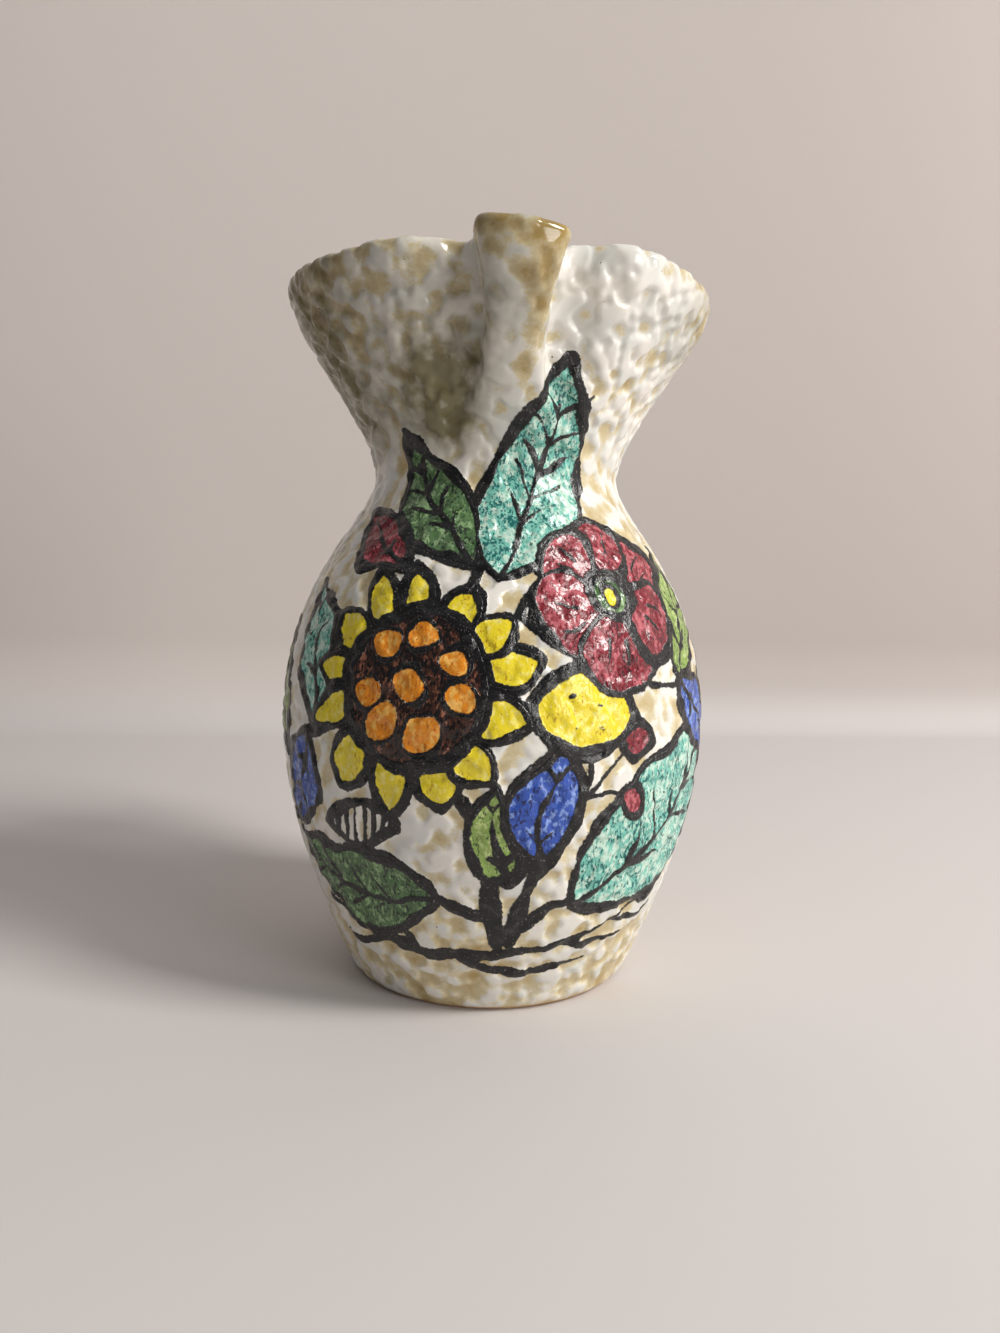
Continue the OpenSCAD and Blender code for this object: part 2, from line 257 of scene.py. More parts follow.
@dataclass
class Profile:
    """The pot's outline as one line of points (radius, height), from the underside to the floor.

    Attributes:
        foot_bulge: Bulge of the foot near the table, as shares of its run and its rise.
        worn: Roundness of the foot ring's inner edge.
        dense: Points of a curve before it is divided evenly.
        spans: First and last row of each zone.
    """

    sizes: PotSizes
    foot_bulge: tuple = (0.55, 0.2)
    worn: float = 0.7
    dense: int = 2001
    line: Array = field(init=False)
    spans: dict[Zone, tuple[int, int]] = field(init=False)

    def __post_init__(self) -> None:
        """Joins the stretches, which share their end points, and notes each one's first and last row."""
        stretches = self.stretches()
        self.spans = {}
        first = 0
        for zone in Zone:
            self.spans[zone] = (first, first + len(stretches[zone]) - 1)
            first = self.spans[zone][1]
        heads = [stretches[zone][:-1] for zone in Zone]
        self.line = np.concatenate([*heads, stretches[Zone.FLOOR_DISC][-1:]])

    def curve(self, zone: Zone, low_in: float = 0.0, high_in: float = 0.0) -> list:
        """Controls of a stretch of the wall, with its face set in by the given amounts.

        Args:
            zone: The belly, the shoulder or the mouth.
            low_in: Set in at its lower end.
            high_in: Set in at its upper end.

        Returns:
            Four controls as (radius, height).
        """
        s = self.sizes
        ends = {
            Zone.BELLY: (s.toe_r, s.foot_h, s.belly_r, s.belly_h),
            Zone.SHOULDER: (s.belly_r, s.belly_h, s.waist_r, s.waist_h),
            Zone.MOUTH: (s.waist_r, s.waist_h, s.rim_r, s.lip_h),
        }
        low_r, low_h, high_r, high_h = ends[zone]
        across, low_leg, high_leg = LEGS[zone]
        rise = high_h - low_h
        return [
            [low_r - low_in, low_h],
            [low_r - low_in + across * (high_r - low_r), low_h + low_leg * rise],
            [high_r - high_in, high_h - high_leg * rise],
            [high_r - high_in, high_h],
        ]

    def toe_lean(self) -> tuple[float, float]:
        """Run and rise of the wall's first direction above the foot."""
        s = self.sizes
        return LEGS[Zone.BELLY][0] * (s.belly_r - s.toe_r), LEGS[Zone.BELLY][1] * (s.belly_h - s.foot_h)

    def foot_curve(self) -> list:
        """Controls of the foot ring's outside, bulging from the table to the toe.

        Returns:
            Four controls as (radius, height).
        """
        s = self.sizes
        run, rise = self.toe_lean()
        return [
            [s.foot_r, 0.0],
            [mix(s.foot_r, s.toe_r, self.foot_bulge[0]), self.foot_bulge[1] * s.foot_h],
            [s.toe_r - run * (s.foot_h / rise) / 2, s.foot_h / 2],
            [s.toe_r, s.foot_h],
        ]

    def stretches(self) -> dict[Zone, Array]:
        """Points of each stretch: Bezier curves, arcs and straight lines at even steps.

        Returns:
            Each zone with its points as (radius, height).
        """
        s = self.sizes
        run, rise = self.toe_lean()
        toe_across = s.wall * math.hypot(run, rise) / rise
        arc = np.linspace(0, math.pi, Zone.LIP.steps + 1)
        lip_r = s.lip_t / 2
        lip = [s.rim_r - lip_r + lip_r * np.cos(arc), s.lip_h + lip_r * np.sin(arc)]
        dish = np.linspace(1, 0, Zone.FLOOR_DISC.steps + 1)
        recess = [[0.0, s.foot_recess], [s.disc_r, s.foot_recess]]
        ledge = [[s.toe_r - toe_across, s.foot_h], [s.disc_r, s.foot_h]]
        under = [
            [s.disc_r, s.foot_recess],
            [s.disc_r, self.worn],
            [s.disc_r + 0.3 * self.worn, 0.3 * self.worn],
            [s.disc_r + self.worn, 0.0],
            [s.foot_r - 3 * self.worn, 0.0],
            [s.foot_r, 0.0],
        ]
        found = {
            Zone.UNDER_DISC: np.linspace(*recess, Zone.UNDER_DISC.steps + 1),
            Zone.UNDER_RING: evenly(np.array(under), Zone.UNDER_RING.steps),
            Zone.FOOT: self.drawn(Zone.FOOT, self.foot_curve()),
            Zone.LIP: np.stack(lip, -1),
            Zone.FLOOR_RING: np.linspace(*ledge, Zone.FLOOR_RING.steps + 1),
            Zone.FLOOR_DISC: np.stack([s.disc_r * dish, s.foot_h - s.floor_dish * (1 - dish**2)], -1),
        }
        walls = (
            (Zone.BELLY, Zone.BELLY_INSIDE, toe_across, s.wall),
            (Zone.SHOULDER, Zone.SHOULDER_INSIDE, s.wall, s.wall),
            (Zone.MOUTH, Zone.MOUTH_INSIDE, s.wall, s.lip_t),
        )
        for outside, inside, low_in, high_in in walls:
            found[outside] = self.drawn(outside, self.curve(outside))
            found[inside] = self.drawn(inside, self.curve(outside, low_in, high_in))[::-1]
        return found

    def drawn(self, zone: Zone, curve: list) -> Array:
        """Points of a zone at even distances along its curve."""
        return evenly(bezier(curve, np.linspace(0, 1, self.dense)), zone.steps)

    def rows(self, *zones: Zone) -> Array:
        """Row numbers of the given zones, with a shared row between neighbours once.

        Args:
            zones: Zones that follow one another.

        Returns:
            The row numbers.
        """
        found = [np.arange(self.spans[zone][0], self.spans[zone][1] + 1) for zone in zones]
        return np.unique(np.concatenate(found))


@dataclass(frozen=True)
class PouringGutter:
    """The front sector of the mouth, pulled forward between two thumbs into a narrow gutter.

    Each row of the skin has its own section, a cubic B-spline in plan. Its controls stand on the
    row's circle at the root of the gutter and out in front of it at the lip.
    """

    sizes: PotSizes
    root_share: float = 0.18
    narrow_share: float = 0.5
    pull_power: float = 1.35
    rise_power: float = 5.0
    nose_shares: tuple = (0.0, 0.55, 1.0, 1.04, 0.96, 1.0)
    root_shares: tuple = (0.0, 0.4, 0.75, 1.0, 1.2, 1.4)
    pull_shares: tuple = (1.0, 1.0, 0.94, 0.7, 0.2, 0.0)
    lift_shares: tuple = (1.0, 1.0, 1.0, 0.7, 0.2, 0.0)
    far_share: float = 0.45
    end_leg_share: float = 0.3
    samples: int = 481

    def controls(self, radius: Array, height: Array, across: Array) -> Array:
        """Controls of whole sections, from one end of the sector to the other.

        Args:
            radius: Radius of each row's circle.
            height: Height of each row.
            across: How far over the lip each row lies, from 0 outside to 1 inside.

        Returns:
            Array of rows, controls and (sideways, forward, lift).
        """
        s = self.sizes
        q = clamp(((height - s.waist_h) / (s.rim_h - s.waist_h) - self.root_share) / (1 - self.root_share))
        full = mix(s.gutter_waist_w, s.gutter_lip_w, ((q - self.narrow_share) / (1 - self.narrow_share)) ** 2)
        half = full - across * s.gutter_side_t
        pull = np.sin(q * math.pi / 2) ** self.pull_power
        lift = q**self.rise_power * s.gutter_rise
        sector = math.radians(s.gutter_sector)
        chord = radius * math.sin(sector)
        leg = self.end_leg_share * chord
        side = half * mix(self.root_shares[-1], self.nose_shares[-1], pull)
        near = np.minimum(full + s.crease_w / 2, mix(side, chord - leg, 1 / 3))
        far = np.minimum(full + s.crease_w, mix(side, chord - leg, 2 / 3))
        half_points = []
        shares = zip(self.nose_shares, self.root_shares, self.pull_shares, self.lift_shares)
        for nose, root, out, up in shares:
            u = mix(root, nose, pull)
            reach = mix(-s.crease_in, s.gutter_pull, out) - s.nose_round * u * u * out
            x = half * u
            half_points.append((x, np.sqrt(radius**2 - x**2) + pull * reach, lift * up))
        for x, pressed in ((np.maximum(side, near), 1.0), (far, self.far_share)):
            half_points.append((x, np.sqrt(radius**2 - x**2) - pull * s.crease_in * pressed, 0 * q))
        end = radius * math.cos(sector)
        half_points.append((chord - leg * math.cos(sector), end + leg * math.sin(sector), 0 * q))
        half_points.append((chord, end, 0 * q))
        right = np.stack([np.stack(p, -1) for p in half_points], 1)
        whole = np.concatenate([right[:, :0:-1] * [-1, 1, 1], right], 1)
        tilt = s.gutter_tilt / (2 * s.gutter_rise) / s.gutter_lip_w
        whole[..., 2] *= 1 - tilt * whole[..., 0]
        return np.concatenate([whole[:, :1]] * 2 + [whole] + [whole[:, -1:]] * 2, 1)

    def spline(self, controls: Array) -> Array:
        """Dense points of uniform cubic B-splines over the controls of all rows at once.

        Args:
            controls: Controls of each row, as (row, control, axis).

        Returns:
            The curve's points, as (row, point, axis).
        """
        spans = controls.shape[1] - 3
        t = np.linspace(0, spans, self.samples)
        i = np.minimum(t.astype(int), spans - 1)
        u = t - i
        weights = np.zeros((self.samples, controls.shape[1]))
        parts = [(1 - u) ** 3, 3 * u**3 - 6 * u**2 + 4, 3 * (u + u**2 - u**3) + 1, u**3]
        for k, part in enumerate(parts):
            weights[np.arange(self.samples), i + k] = part / 6
        return np.einsum("sk,rkc->rsc", weights, controls)

    def columns(self, radius: Array, height: Array, across: Array, shares: Array) -> Array:
        """Skin of the sector at the given shares of each section's length in plan.

        Args:
            radius: Radius of each row's circle.
            height: Height of each row.
            across: How far over the lip each row lies.
            shares: Share of the section's length of each column.

        Returns:
            Array of rows, columns and (x, y, z).
        """
        dense = self.spline(self.controls(radius, height, across))
        steps = np.linalg.norm(np.diff(dense[..., :2], axis=1), axis=-1)
        run = np.concatenate([np.zeros((len(dense), 1)), np.cumsum(steps, axis=1)], 1)
        run /= run[:, -1:]
        row = 2.0 * np.arange(len(dense))[:, None]
        wanted = (row + shares[None, :]).ravel()
        known = (row + run).ravel()
        found = [np.interp(wanted, known, dense[..., k].ravel()) for k in range(3)]
        x, forward, lift = (f.reshape(len(dense), -1) for f in found)
        return np.stack([x, -forward, height[:, None] + lift], -1)


@dataclass
class Skin:
    """A grid of surface points whose columns run round and close, with what its finish reads.

    Attributes:
        points: Rows, columns and (x, y, z) in millimetres.
        normals: Outward normals of the grid.
        values: Named three-part values for each point.
    """

    points: Array
    normals: Array = field(init=False)
    values: dict[str, Array] = field(default_factory=dict)

    def __post_init__(self) -> None:
        """Works out the first normals."""
        self.update_normals()

    def update_normals(self) -> None:
        """Normal of each point: the cross product of the central differences along and across."""
        across = np.roll(self.points, -1, axis=1) - np.roll(self.points, 1, axis=1)
        self.normals = unit(np.cross(across, np.gradient(self.points, axis=0)))

    def push(self, height: Array) -> None:
        """Moves every point along its normal by the height, and works the normals out again."""
        self.points = self.points + self.normals * height[..., None]
        self.update_normals()


class Finish(Enum):
    """Material slots of the pieces, as the construction names them."""

    BARE_CLAY = "bare_clay"
    SPECKLED_GLAZE = "speckled_glaze"
    PAINTED_GLAZE = "painted_glaze"


@dataclass
class MeshPiece:
    """One closed solid cut from a skin: its rows and columns, and what closes it where it is hidden.

    Attributes:
        name: Name of the construction node that the piece stands for.
        finish: Its material slot.
        rows: Rows of the skin. A jump in their numbers is a hidden joint face.
        columns: Columns of the skin, or None for all of them.
        looped: Whether the last row is joined back to the first.
        first_pole: Closing point before the first row, as (place, normal, whether it is seen).
        bare_rows: Row of the skin below which a face is bare clay.
    """

    name: str
    finish: Finish
    rows: Array
    columns: Array | None = None
    looped: bool = True
    first_pole: tuple | None = None
    last_pole: tuple | None = None
    bare_rows: int = 0

    def build(self, skin: Skin, materials: list) -> bpy.types.Object:
        """Writes the piece's mesh.

        Args:
            skin: The skin that the piece is cut from.
            materials: Its materials; the second is for bare clay.

        Returns:
            The new object, at the origin.
        """
        closed = self.columns is None
        columns = np.arange(skin.points.shape[1]) if closed else self.columns
        pick = np.ix_(self.rows, columns)
        grid = np.arange(len(self.rows) * len(columns)).reshape(len(self.rows), -1)
        points = [skin.points[pick].reshape(-1, 3)]
        normals = [skin.normals[pick].reshape(-1, 3)]
        low = grid if self.looped else grid[:-1]
        high = np.roll(grid, -1, axis=0) if self.looped else grid[1:]
        faces = np.stack([low, np.roll(low, -1, axis=1), np.roll(high, -1, axis=1), high], -1)
        faces = faces if closed else faces[:, :-1]
        jump = np.roll(self.rows, -1)[: len(low)] - self.rows[: len(low)] != 1
        bare = self.rows[: len(low)] < self.bare_rows
        hidden, clay = ([np.repeat(mark, faces.shape[1])] for mark in (jump, bare))
        quads = [faces.reshape(-1, 4)]
        for end in [] if closed else self.side_faces(grid, points[0]):
            quads.append(end)
            hidden.append(np.ones(len(end), bool))
            clay.append(np.zeros(len(end), bool))
        triangles = [np.zeros((0, 3), int)]
        for pole, ring, forwards in ((self.first_pole, grid[0], False), (self.last_pole, grid[-1], True)):
            if pole is None:
                continue
            place, direction, shown = pole
            order = (ring, np.roll(ring, -1), np.full(len(ring), grid.size + len(points) - 1))
            triangles.append(np.stack(order if forwards else order[::-1], -1))
            points.append(np.array([place], float))
            normals.append(np.array([direction], float))
            hidden.append(np.full(len(ring), not shown))
            clay.append(np.full(len(ring), shown and not forwards))
        mesh = write_mesh(self.name, *map(np.concatenate, (points, normals, quads, triangles, hidden)))
        for material in materials:
            mesh.materials.append(material)
        if len(materials) > 1:
            mesh.polygons.foreach_set("material_index", np.concatenate(clay).astype(np.int32))
        for name, value in skin.values.items():
            flat = np.concatenate([value[pick].reshape(-1, 3), np.zeros((len(points) - 1, 3))])
            attribute = mesh.attributes.new(name, "FLOAT_VECTOR", "POINT")
            attribute.data.foreach_set("vector", flat.astype(np.float32).ravel())
        return placed(self.name + "_finish", mesh)

    @staticmethod
    def side_faces(grid: Array, points: Array) -> list[Array]:
        """Faces that close the two open columns: each row is paired with the row across the wall.

        Args:
            grid: Numbers of the vertices, by row and column.
            points: Places of the vertices.

        Returns:
            The faces' vertex numbers.
        """
        half = len(grid) // 2
        faces = []
        for column, inner in ((grid[:, 0], grid[:, 1]), (grid[:, -1], grid[:, -2])):
            facing = column[::-1]
            strip = np.stack([column[: half - 1], column[1:half], facing[1:half], facing[: half - 1]], -1)
            corner = points[strip[0]]
            normal = np.cross(corner[1] - corner[0], corner[2] - corner[0])
            outwards = points[column[0]] - points[inner[0]]
            faces.append(strip if normal @ outwards > 0 else strip[:, ::-1])
        return faces


def write_mesh(
    name: str, points: Array, normals: Array, quads: Array, triangles: Array, hidden: Array
) -> bpy.types.Mesh:
    """Mesh of quads and triangles, with the skin's normals on its shown faces.

    Args:
        name: Name of the mesh.
        points: Vertices in millimetres.
        normals: Normal of each vertex.
        quads: Vertex numbers of the four-sided faces.
        triangles: Vertex numbers of the three-sided faces.
        hidden: For each face, whether it lies inside a joint and keeps its own flat normal.

    Returns:
        The mesh, in metres.
    """
    mesh = bpy.data.meshes.new(name)
    mesh.vertices.add(len(points))
    mesh.vertices.foreach_set("co", (points * MM).astype(np.float32).ravel())
    corners = np.concatenate([quads.ravel(), triangles.ravel()]).astype(np.int32)
    starts = np.concatenate([np.arange(len(quads)) * 4, len(quads) * 4 + np.arange(len(triangles)) * 3])
    mesh.loops.add(len(corners))
    mesh.loops.foreach_set("vertex_index", corners)
    mesh.polygons.add(len(starts))
    mesh.polygons.foreach_set("loop_start", starts.astype(np.int32))
    mesh.polygons.foreach_set("use_smooth", np.ones(len(starts), bool))
    mesh.update(calc_edges=True)
    corner_normals = normals[corners]
    flat = []
    for faces in (quads, triangles):
        a, b, c = (points[faces[:, k]] for k in (0, 1, 2))
        flat.append(np.repeat(unit(np.cross(b - a, c - a)), faces.shape[1], axis=0))
    own = np.repeat(hidden, np.concatenate([np.full(len(quads), 4), np.full(len(triangles), 3)]))
    corner_normals[own] = np.concatenate(flat)[own]
    mesh.normals_split_custom_set(corner_normals.astype(np.float32))
    return mesh


def placed(name: str, data: bpy.types.ID) -> bpy.types.Object:
    """A new object in the scene, at the origin.

    Args:
        name: Its name.
        data: Its mesh, lamp or camera.

    Returns:
        The object.
    """
    obj = bpy.data.objects.new(name, data)
    bpy.context.scene.collection.objects.link(obj)
    return obj


# Glaze


@dataclass(frozen=True)
class GlazeRelief:
    """Relief of the crawled glaze: rounded lumps with hollows between them.

    The relief is the hyperbolic tangent of a random field, so the lumps have broad tops. The glaze
    is thin in the hollows, and thinner still where a coarser field says so.

    Attributes:
        lumps: Shortest and longest waves of the lumps; pebbles, mottles and patches likewise.
        squat: Height of the lumps as a share of their width.
        pebble_share: Strength of the pebbles beside the lumps.
        thin_shares: How much mottles and patches thin the glaze, and how much the ground thickens it.
    """

    seed: int = 11
    lumps: tuple = (8.5, 13.5)
    pebbles: tuple = (4.4, 7.0)
    mottles: tuple = (14.0, 26.0)
    patches: tuple = (40.0, 80.0)
    squat: float = 0.85
    patch_waves: int = 24
    pebble_share: float = 0.45
    thin_shares: tuple = (0.26, 0.3, 0.75)
    sharpness: float = 1.2

    def field(self, points: Array) -> tuple[Array, Array]:
        """Relief from -1 to 1 at each point, and how thin the glaze lies there, about -2 to 2.

        Args:
            points: Places on the wall.

        Returns:
            The relief and the thinness.
        """
        lumps = RandomWaves(self.seed, *self.lumps, upright=self.squat).at(points)
        pebbles = RandomWaves(self.seed + 1, *self.pebbles).at(points)
        mottles = RandomWaves(self.seed + 2, *self.mottles).at(points)
        patches = RandomWaves(self.seed + 3, *self.patches, count=self.patch_waves).at(points)
        ground = lumps + self.pebble_share * pebbles
        mottled, patchy, thick = self.thin_shares
        return np.tanh(self.sharpness * ground), mottled * mottles + patchy * patches - thick * ground


# Painting


class Pigment(Enum):
    """The enamels of the painting, in the order in which the finish lays them."""

    INK = 0
    TEAL = 1
    YELLOW = 2
    RED = 3
    BROWN = 4
    ORANGE = 5
    GREEN = 6
    SPRING = 7
    BLUE = 8


FAR = 6.0
OUTSIDE = (Zone.FOOT, Zone.BELLY, Zone.SHOULDER, Zone.MOUTH)


def leaf(length: float, width: float, bend: float = 0.0, belly: float = 0.5, round_end: float = 1.0) -> Array:
    """Closed outline of a leaf or petal along +X, from its stalk at the origin to its tip.

    Half its width is a sine of the share of its length, warped so that it is widest at the share
    belly; the middle line is bent sideways by half a sine.

    Args:
        length: From stalk to tip.
        width: At the widest.
        bend: Sideways swing of the middle line.
        belly: Share of the length at which it is widest.
        round_end: Power of the sine, under one for a full shape and over one for a slim one.

    Returns:
        The outline's points.
    """
    share = np.linspace(0, 1, 25)
    warped = share ** (math.log(0.5) / math.log(belly))
    half = 0.5 * width * np.sin(math.pi * warped) ** round_end
    middle = np.stack([share * length, bend * np.sin(math.pi * share)], -1)
    top = middle + np.stack([0 * half, half], -1)
    under = middle - np.stack([0 * half, half], -1)
    return np.concatenate([top[:-1], under[:0:-1]])


def oval(
    width: float, height: float, centre: tuple = (0.0, 0.0), wobble: float = 0.06, seed: int = 0
) -> Array:
    """Closed outline of a hand-drawn oval: an ellipse whose radius wavers by a few low harmonics.

    Args:
        width: Whole width.
        height: Whole height.
        centre: Place of its middle.
        wobble: Share by which the radius wavers.
        seed: Seed of the wavering.

    Returns:
        The points of the outline, in the motif's own millimetres.
    """
    angle = np.linspace(0, 2 * math.pi, 32, endpoint=False)
    rng = np.random.default_rng(seed)
    phases = rng.uniform(0, 2 * math.pi, 3)
    waver = 1 + wobble * sum(np.sin((k + 2) * angle + phases[k]) / (k + 1) for k in range(3))
    return np.stack([0.5 * width * np.cos(angle), 0.5 * height * np.sin(angle)], -1) * waver[:, None] + centre


def turned(points: Array, degrees: float) -> Array:
    """Points turned about the origin."""
    c, s = math.cos(math.radians(degrees)), math.sin(math.radians(degrees))
    return np.asarray(points, float) @ np.array([[c, s], [-s, c]])


@dataclass(frozen=True)
class Shape:
    """A filled enamel shape with an ink outline; its outline is in millimetres about its anchor.

    Attributes:
        outline: Closed outline.
        pigment: Enamel inside, or None for bare glaze.
        ink: Half the width of the ink line round it.
    """

    outline: Array
    pigment: Pigment | None
    ink: float = 2.1


@dataclass(frozen=True)
class Stroke:
    """A brush stroke: a rounded line through points, with half widths spread along it."""

    points: tuple | Array
    widths: tuple
    pigment: Pigment = Pigment.INK


@dataclass(frozen=True)
class Motif:
    """Shapes and strokes painted about one anchor on the pot.

    Attributes:
        azimuth: Degrees from the front, to the right as seen from outside.
        height: Height of the anchor.
        turn: Degrees that the motif is turned, counterclockwise.
        marks: Its shapes and strokes in the order of painting.
    """

    azimuth: float
    height: float
    turn: float
    marks: tuple


class Canvas:
    """The outer wall as a flat map, and the enamels painted on it as distances to their edges.

    The map is conformal: across it is the azimuth in radians, and up it is the distance along the
    profile divided by the radius. A shape keeps its form anywhere on the wall, and distances on
    the map times the radius are millimetres. A distance is negative inside an enamel.
    """

    TREMBLE = 0.9
    TREMBLE_WAVES = (16.0, 40.0, 20)
    PRESS = 0.5
    PRESS_WAVES = (9.0, 26.0, 24)
    STROKE_PRESS = 0.6
    SEEDS = (31, 32, 33)

    def __init__(self, profile: Profile, azimuths: Array, points: Array) -> None:
        """Measures the map of the rows from the foot to the lip, and the tremble of the hand.

        Args:
            profile: The pot's outline.
            azimuths: Azimuth of each column, in radians.
            points: The skin's points, for the tremble.
        """
        self.rows = profile.rows(*OUTSIDE)
        wall = points[self.rows]
        swings = [RandomWaves(seed, *self.TREMBLE_WAVES).at(wall) for seed in self.SEEDS[:2]]
        self.tremble = np.stack(swings, -1)
        self.press = self.PRESS * RandomWaves(self.SEEDS[2], *self.PRESS_WAVES).at(wall)
        line = profile.line[self.rows]
        step = np.linalg.norm(np.diff(line, axis=0), axis=1)
        middle = 0.5 * (line[1:, 0] + line[:-1, 0])
        self.up = np.concatenate([[0.0], np.cumsum(step / middle)])
        self.heights = line[:, 1]
        self.radius = line[:, 0]
        self.azimuths = azimuths
        shape = (len(self.rows), len(azimuths))
        self.layers = {pigment: np.full(shape, FAR) for pigment in Pigment}

    def place(self, azimuth: float, height: float) -> Array:
        """Map coordinates of a place on the wall."""
        return np.array([math.radians(azimuth), np.interp(height, self.heights, self.up)])

    def window(self, points: Array) -> tuple[tuple, Array, Array]:
        """Rows and columns within reach of the points, their map coordinates and the map's scale.

        Args:
            points: Places in the map.

        Returns:
            The two slices, the coordinates and the scale.
        """
        reach = 2 * FAR / self.radius.min()
        low, high = points.min(0) - reach, points.max(0) + reach
        centre = 0.5 * (low[0] + high[0])
        across = centre + (self.azimuths - centre + math.pi) % (2 * math.pi) - math.pi
        columns = np.flatnonzero((across > low[0]) & (across < high[0]))
        rows = np.flatnonzero((self.up > low[1]) & (self.up < high[1]))
        grid = np.stack(np.meshgrid(across[columns], self.up[rows]), -1)
        where = np.ix_(rows, columns)
        scale = self.radius[rows][:, None]
        return where, grid + self.TREMBLE * self.tremble[where] / scale[..., None], scale

    @staticmethod
    def to_segments(grid: Array, points: Array, closed: bool) -> tuple[Array, Array, Array]:
        """Distance to each segment of a line, the share along it, and whether points lie inside.

        The nearest point of a segment is found by projecting on it and clamping the share to 0..1.
        A point is inside when a ray along +X crosses the closed line an odd number of times.

        Args:
            grid: Map coordinates.
            points: Corners of the line.
            closed: Whether the last corner joins the first.

        Returns:
            The distance, the share along the nearest segment, and the inside.
        """
        a = points
        b = np.roll(points, -1, axis=0) if closed else points[1:]
        a = a if closed else points[:-1]
        d = b - a
        ap = grid[..., None, :] - a
        share = clamp((ap * d).sum(-1) / np.maximum((d * d).sum(-1), 1e-18))
        gap = np.linalg.norm(ap - share[..., None] * d, axis=-1)
        y = grid[..., 1, None]
        crosses = (a[:, 1] > y) != (b[:, 1] > y)
        rise = np.where(np.abs(d[:, 1]) < 1e-12, 1e-12, d[:, 1])
        crosses &= grid[..., 0, None] < a[:, 0] + (y - a[:, 1]) / rise * d[:, 0]
        inside = crosses.sum(-1) % 2 == 1
        return gap, share, inside

    def fill(self, points: Array, pigment: Pigment | None, ink: float) -> None:
        """Paints a closed shape over what is there, and its outline in ink over that.

        Args:
            points: Corners of the shape.
            pigment: Its enamel, or None for bare glaze.
            ink: Half width of its outline.
        """
        where, grid, scale = self.window(points)
        gap, _, inside = self.to_segments(grid, points, True)
        distance = np.where(inside, -1, 1) * gap.min(-1) * scale
        for layer in self.layers.values():
            layer[where] = np.maximum(layer[where], np.minimum(-distance, FAR))
        if pigment is not None:
            layer = self.layers[pigment]
            layer[where] = np.minimum(layer[where], distance)
        layer = self.layers[Pigment.INK]
        layer[where] = np.minimum(layer[where], np.abs(distance) - ink - self.press[where])

    def stroke(self, points: Array, widths: Array, pigment: Pigment) -> None:
        """Paints a line whose half width changes along it.

        Args:
            points: Corners of the line.
            widths: Half widths, spread evenly along it.
            pigment: The ink or an enamel.
        """
        where, grid, scale = self.window(points)
        gap, share, _ = self.to_segments(grid, points, False)
        distance = (gap * scale[..., None] - mix(widths[:-1], widths[1:], share)).min(-1)
        layer = self.layers[pigment]
        thick = np.minimum(1.0, np.max(widths)) * self.press[where]
        layer[where] = np.minimum(layer[where], distance - self.STROKE_PRESS * thick)

    def paint(self, motif: Motif) -> None:
        """Paints a motif at its anchor.

        Args:
            motif: The motif with its place, turn and size.
        """
        anchor = self.place(motif.azimuth, motif.height)
        scale = np.interp(motif.height, self.heights, self.radius)
        for mark in motif.marks:
            if isinstance(mark, Shape):
                self.fill(turned(mark.outline, motif.turn) / scale + anchor, mark.pigment, mark.ink)
            else:
                line = round_curve(np.array(mark.points))
                widths = self.spread(mark.widths, len(line))
                self.stroke(turned(line, motif.turn) / scale + anchor, widths, mark.pigment)

    def stem(self, places: tuple, widths: tuple) -> None:
        """Paints an ink line through places given as (azimuth, height).

        Args:
            places: Places that the line runs through.
            widths: Half widths along it.
        """
        line = round_curve(np.array([self.place(*p) for p in places]))
        self.stroke(line, self.spread(widths, len(line)), Pigment.INK)

    @staticmethod
    def spread(widths: tuple, count: int) -> Array:
        """The widths spread evenly over a number of points."""
        return np.interp(np.linspace(0, 1, count), np.linspace(0, 1, len(widths)), widths)


def veined_leaf(
    length: float, width: float, pigment: Pigment, bend: float, belly: float = 0.45, veins: int = 3
) -> tuple:
    """Marks of a leaf with a midrib and side veins in ink.

    Args:
        length: From stalk to tip.
        width: Across the middle.
        pigment: Its enamel.
        bend: How far the midrib bends aside.
        belly: Where along it the leaf is widest.
        veins: Side veins on each side.

    Returns:
        The marks in the order of painting.
    """
    marks: list = [Shape(leaf(length, width, bend, belly), pigment)]
    share = np.linspace(0, 0.8, 5)
    rib = np.stack([share * length, bend * np.sin(math.pi * share)], -1)
    marks.append(Stroke(rib, (1.5, 1.2, 0.7)))
    for k in range(veins):
        at = 0.24 + 0.5 * k / max(veins - 1, 1)
        foot = np.array([at * length, bend * math.sin(math.pi * at)])
        for side in (1, -1):
            tip = foot + np.array([0.13 * length, side * 0.3 * width * math.sin(math.pi * at)])
            middle = 0.5 * (foot + tip) + [0.01 * length, 0]
            marks.append(Stroke((foot, middle, tip), (1.0, 0.9, 0.5)))
    return tuple(marks)


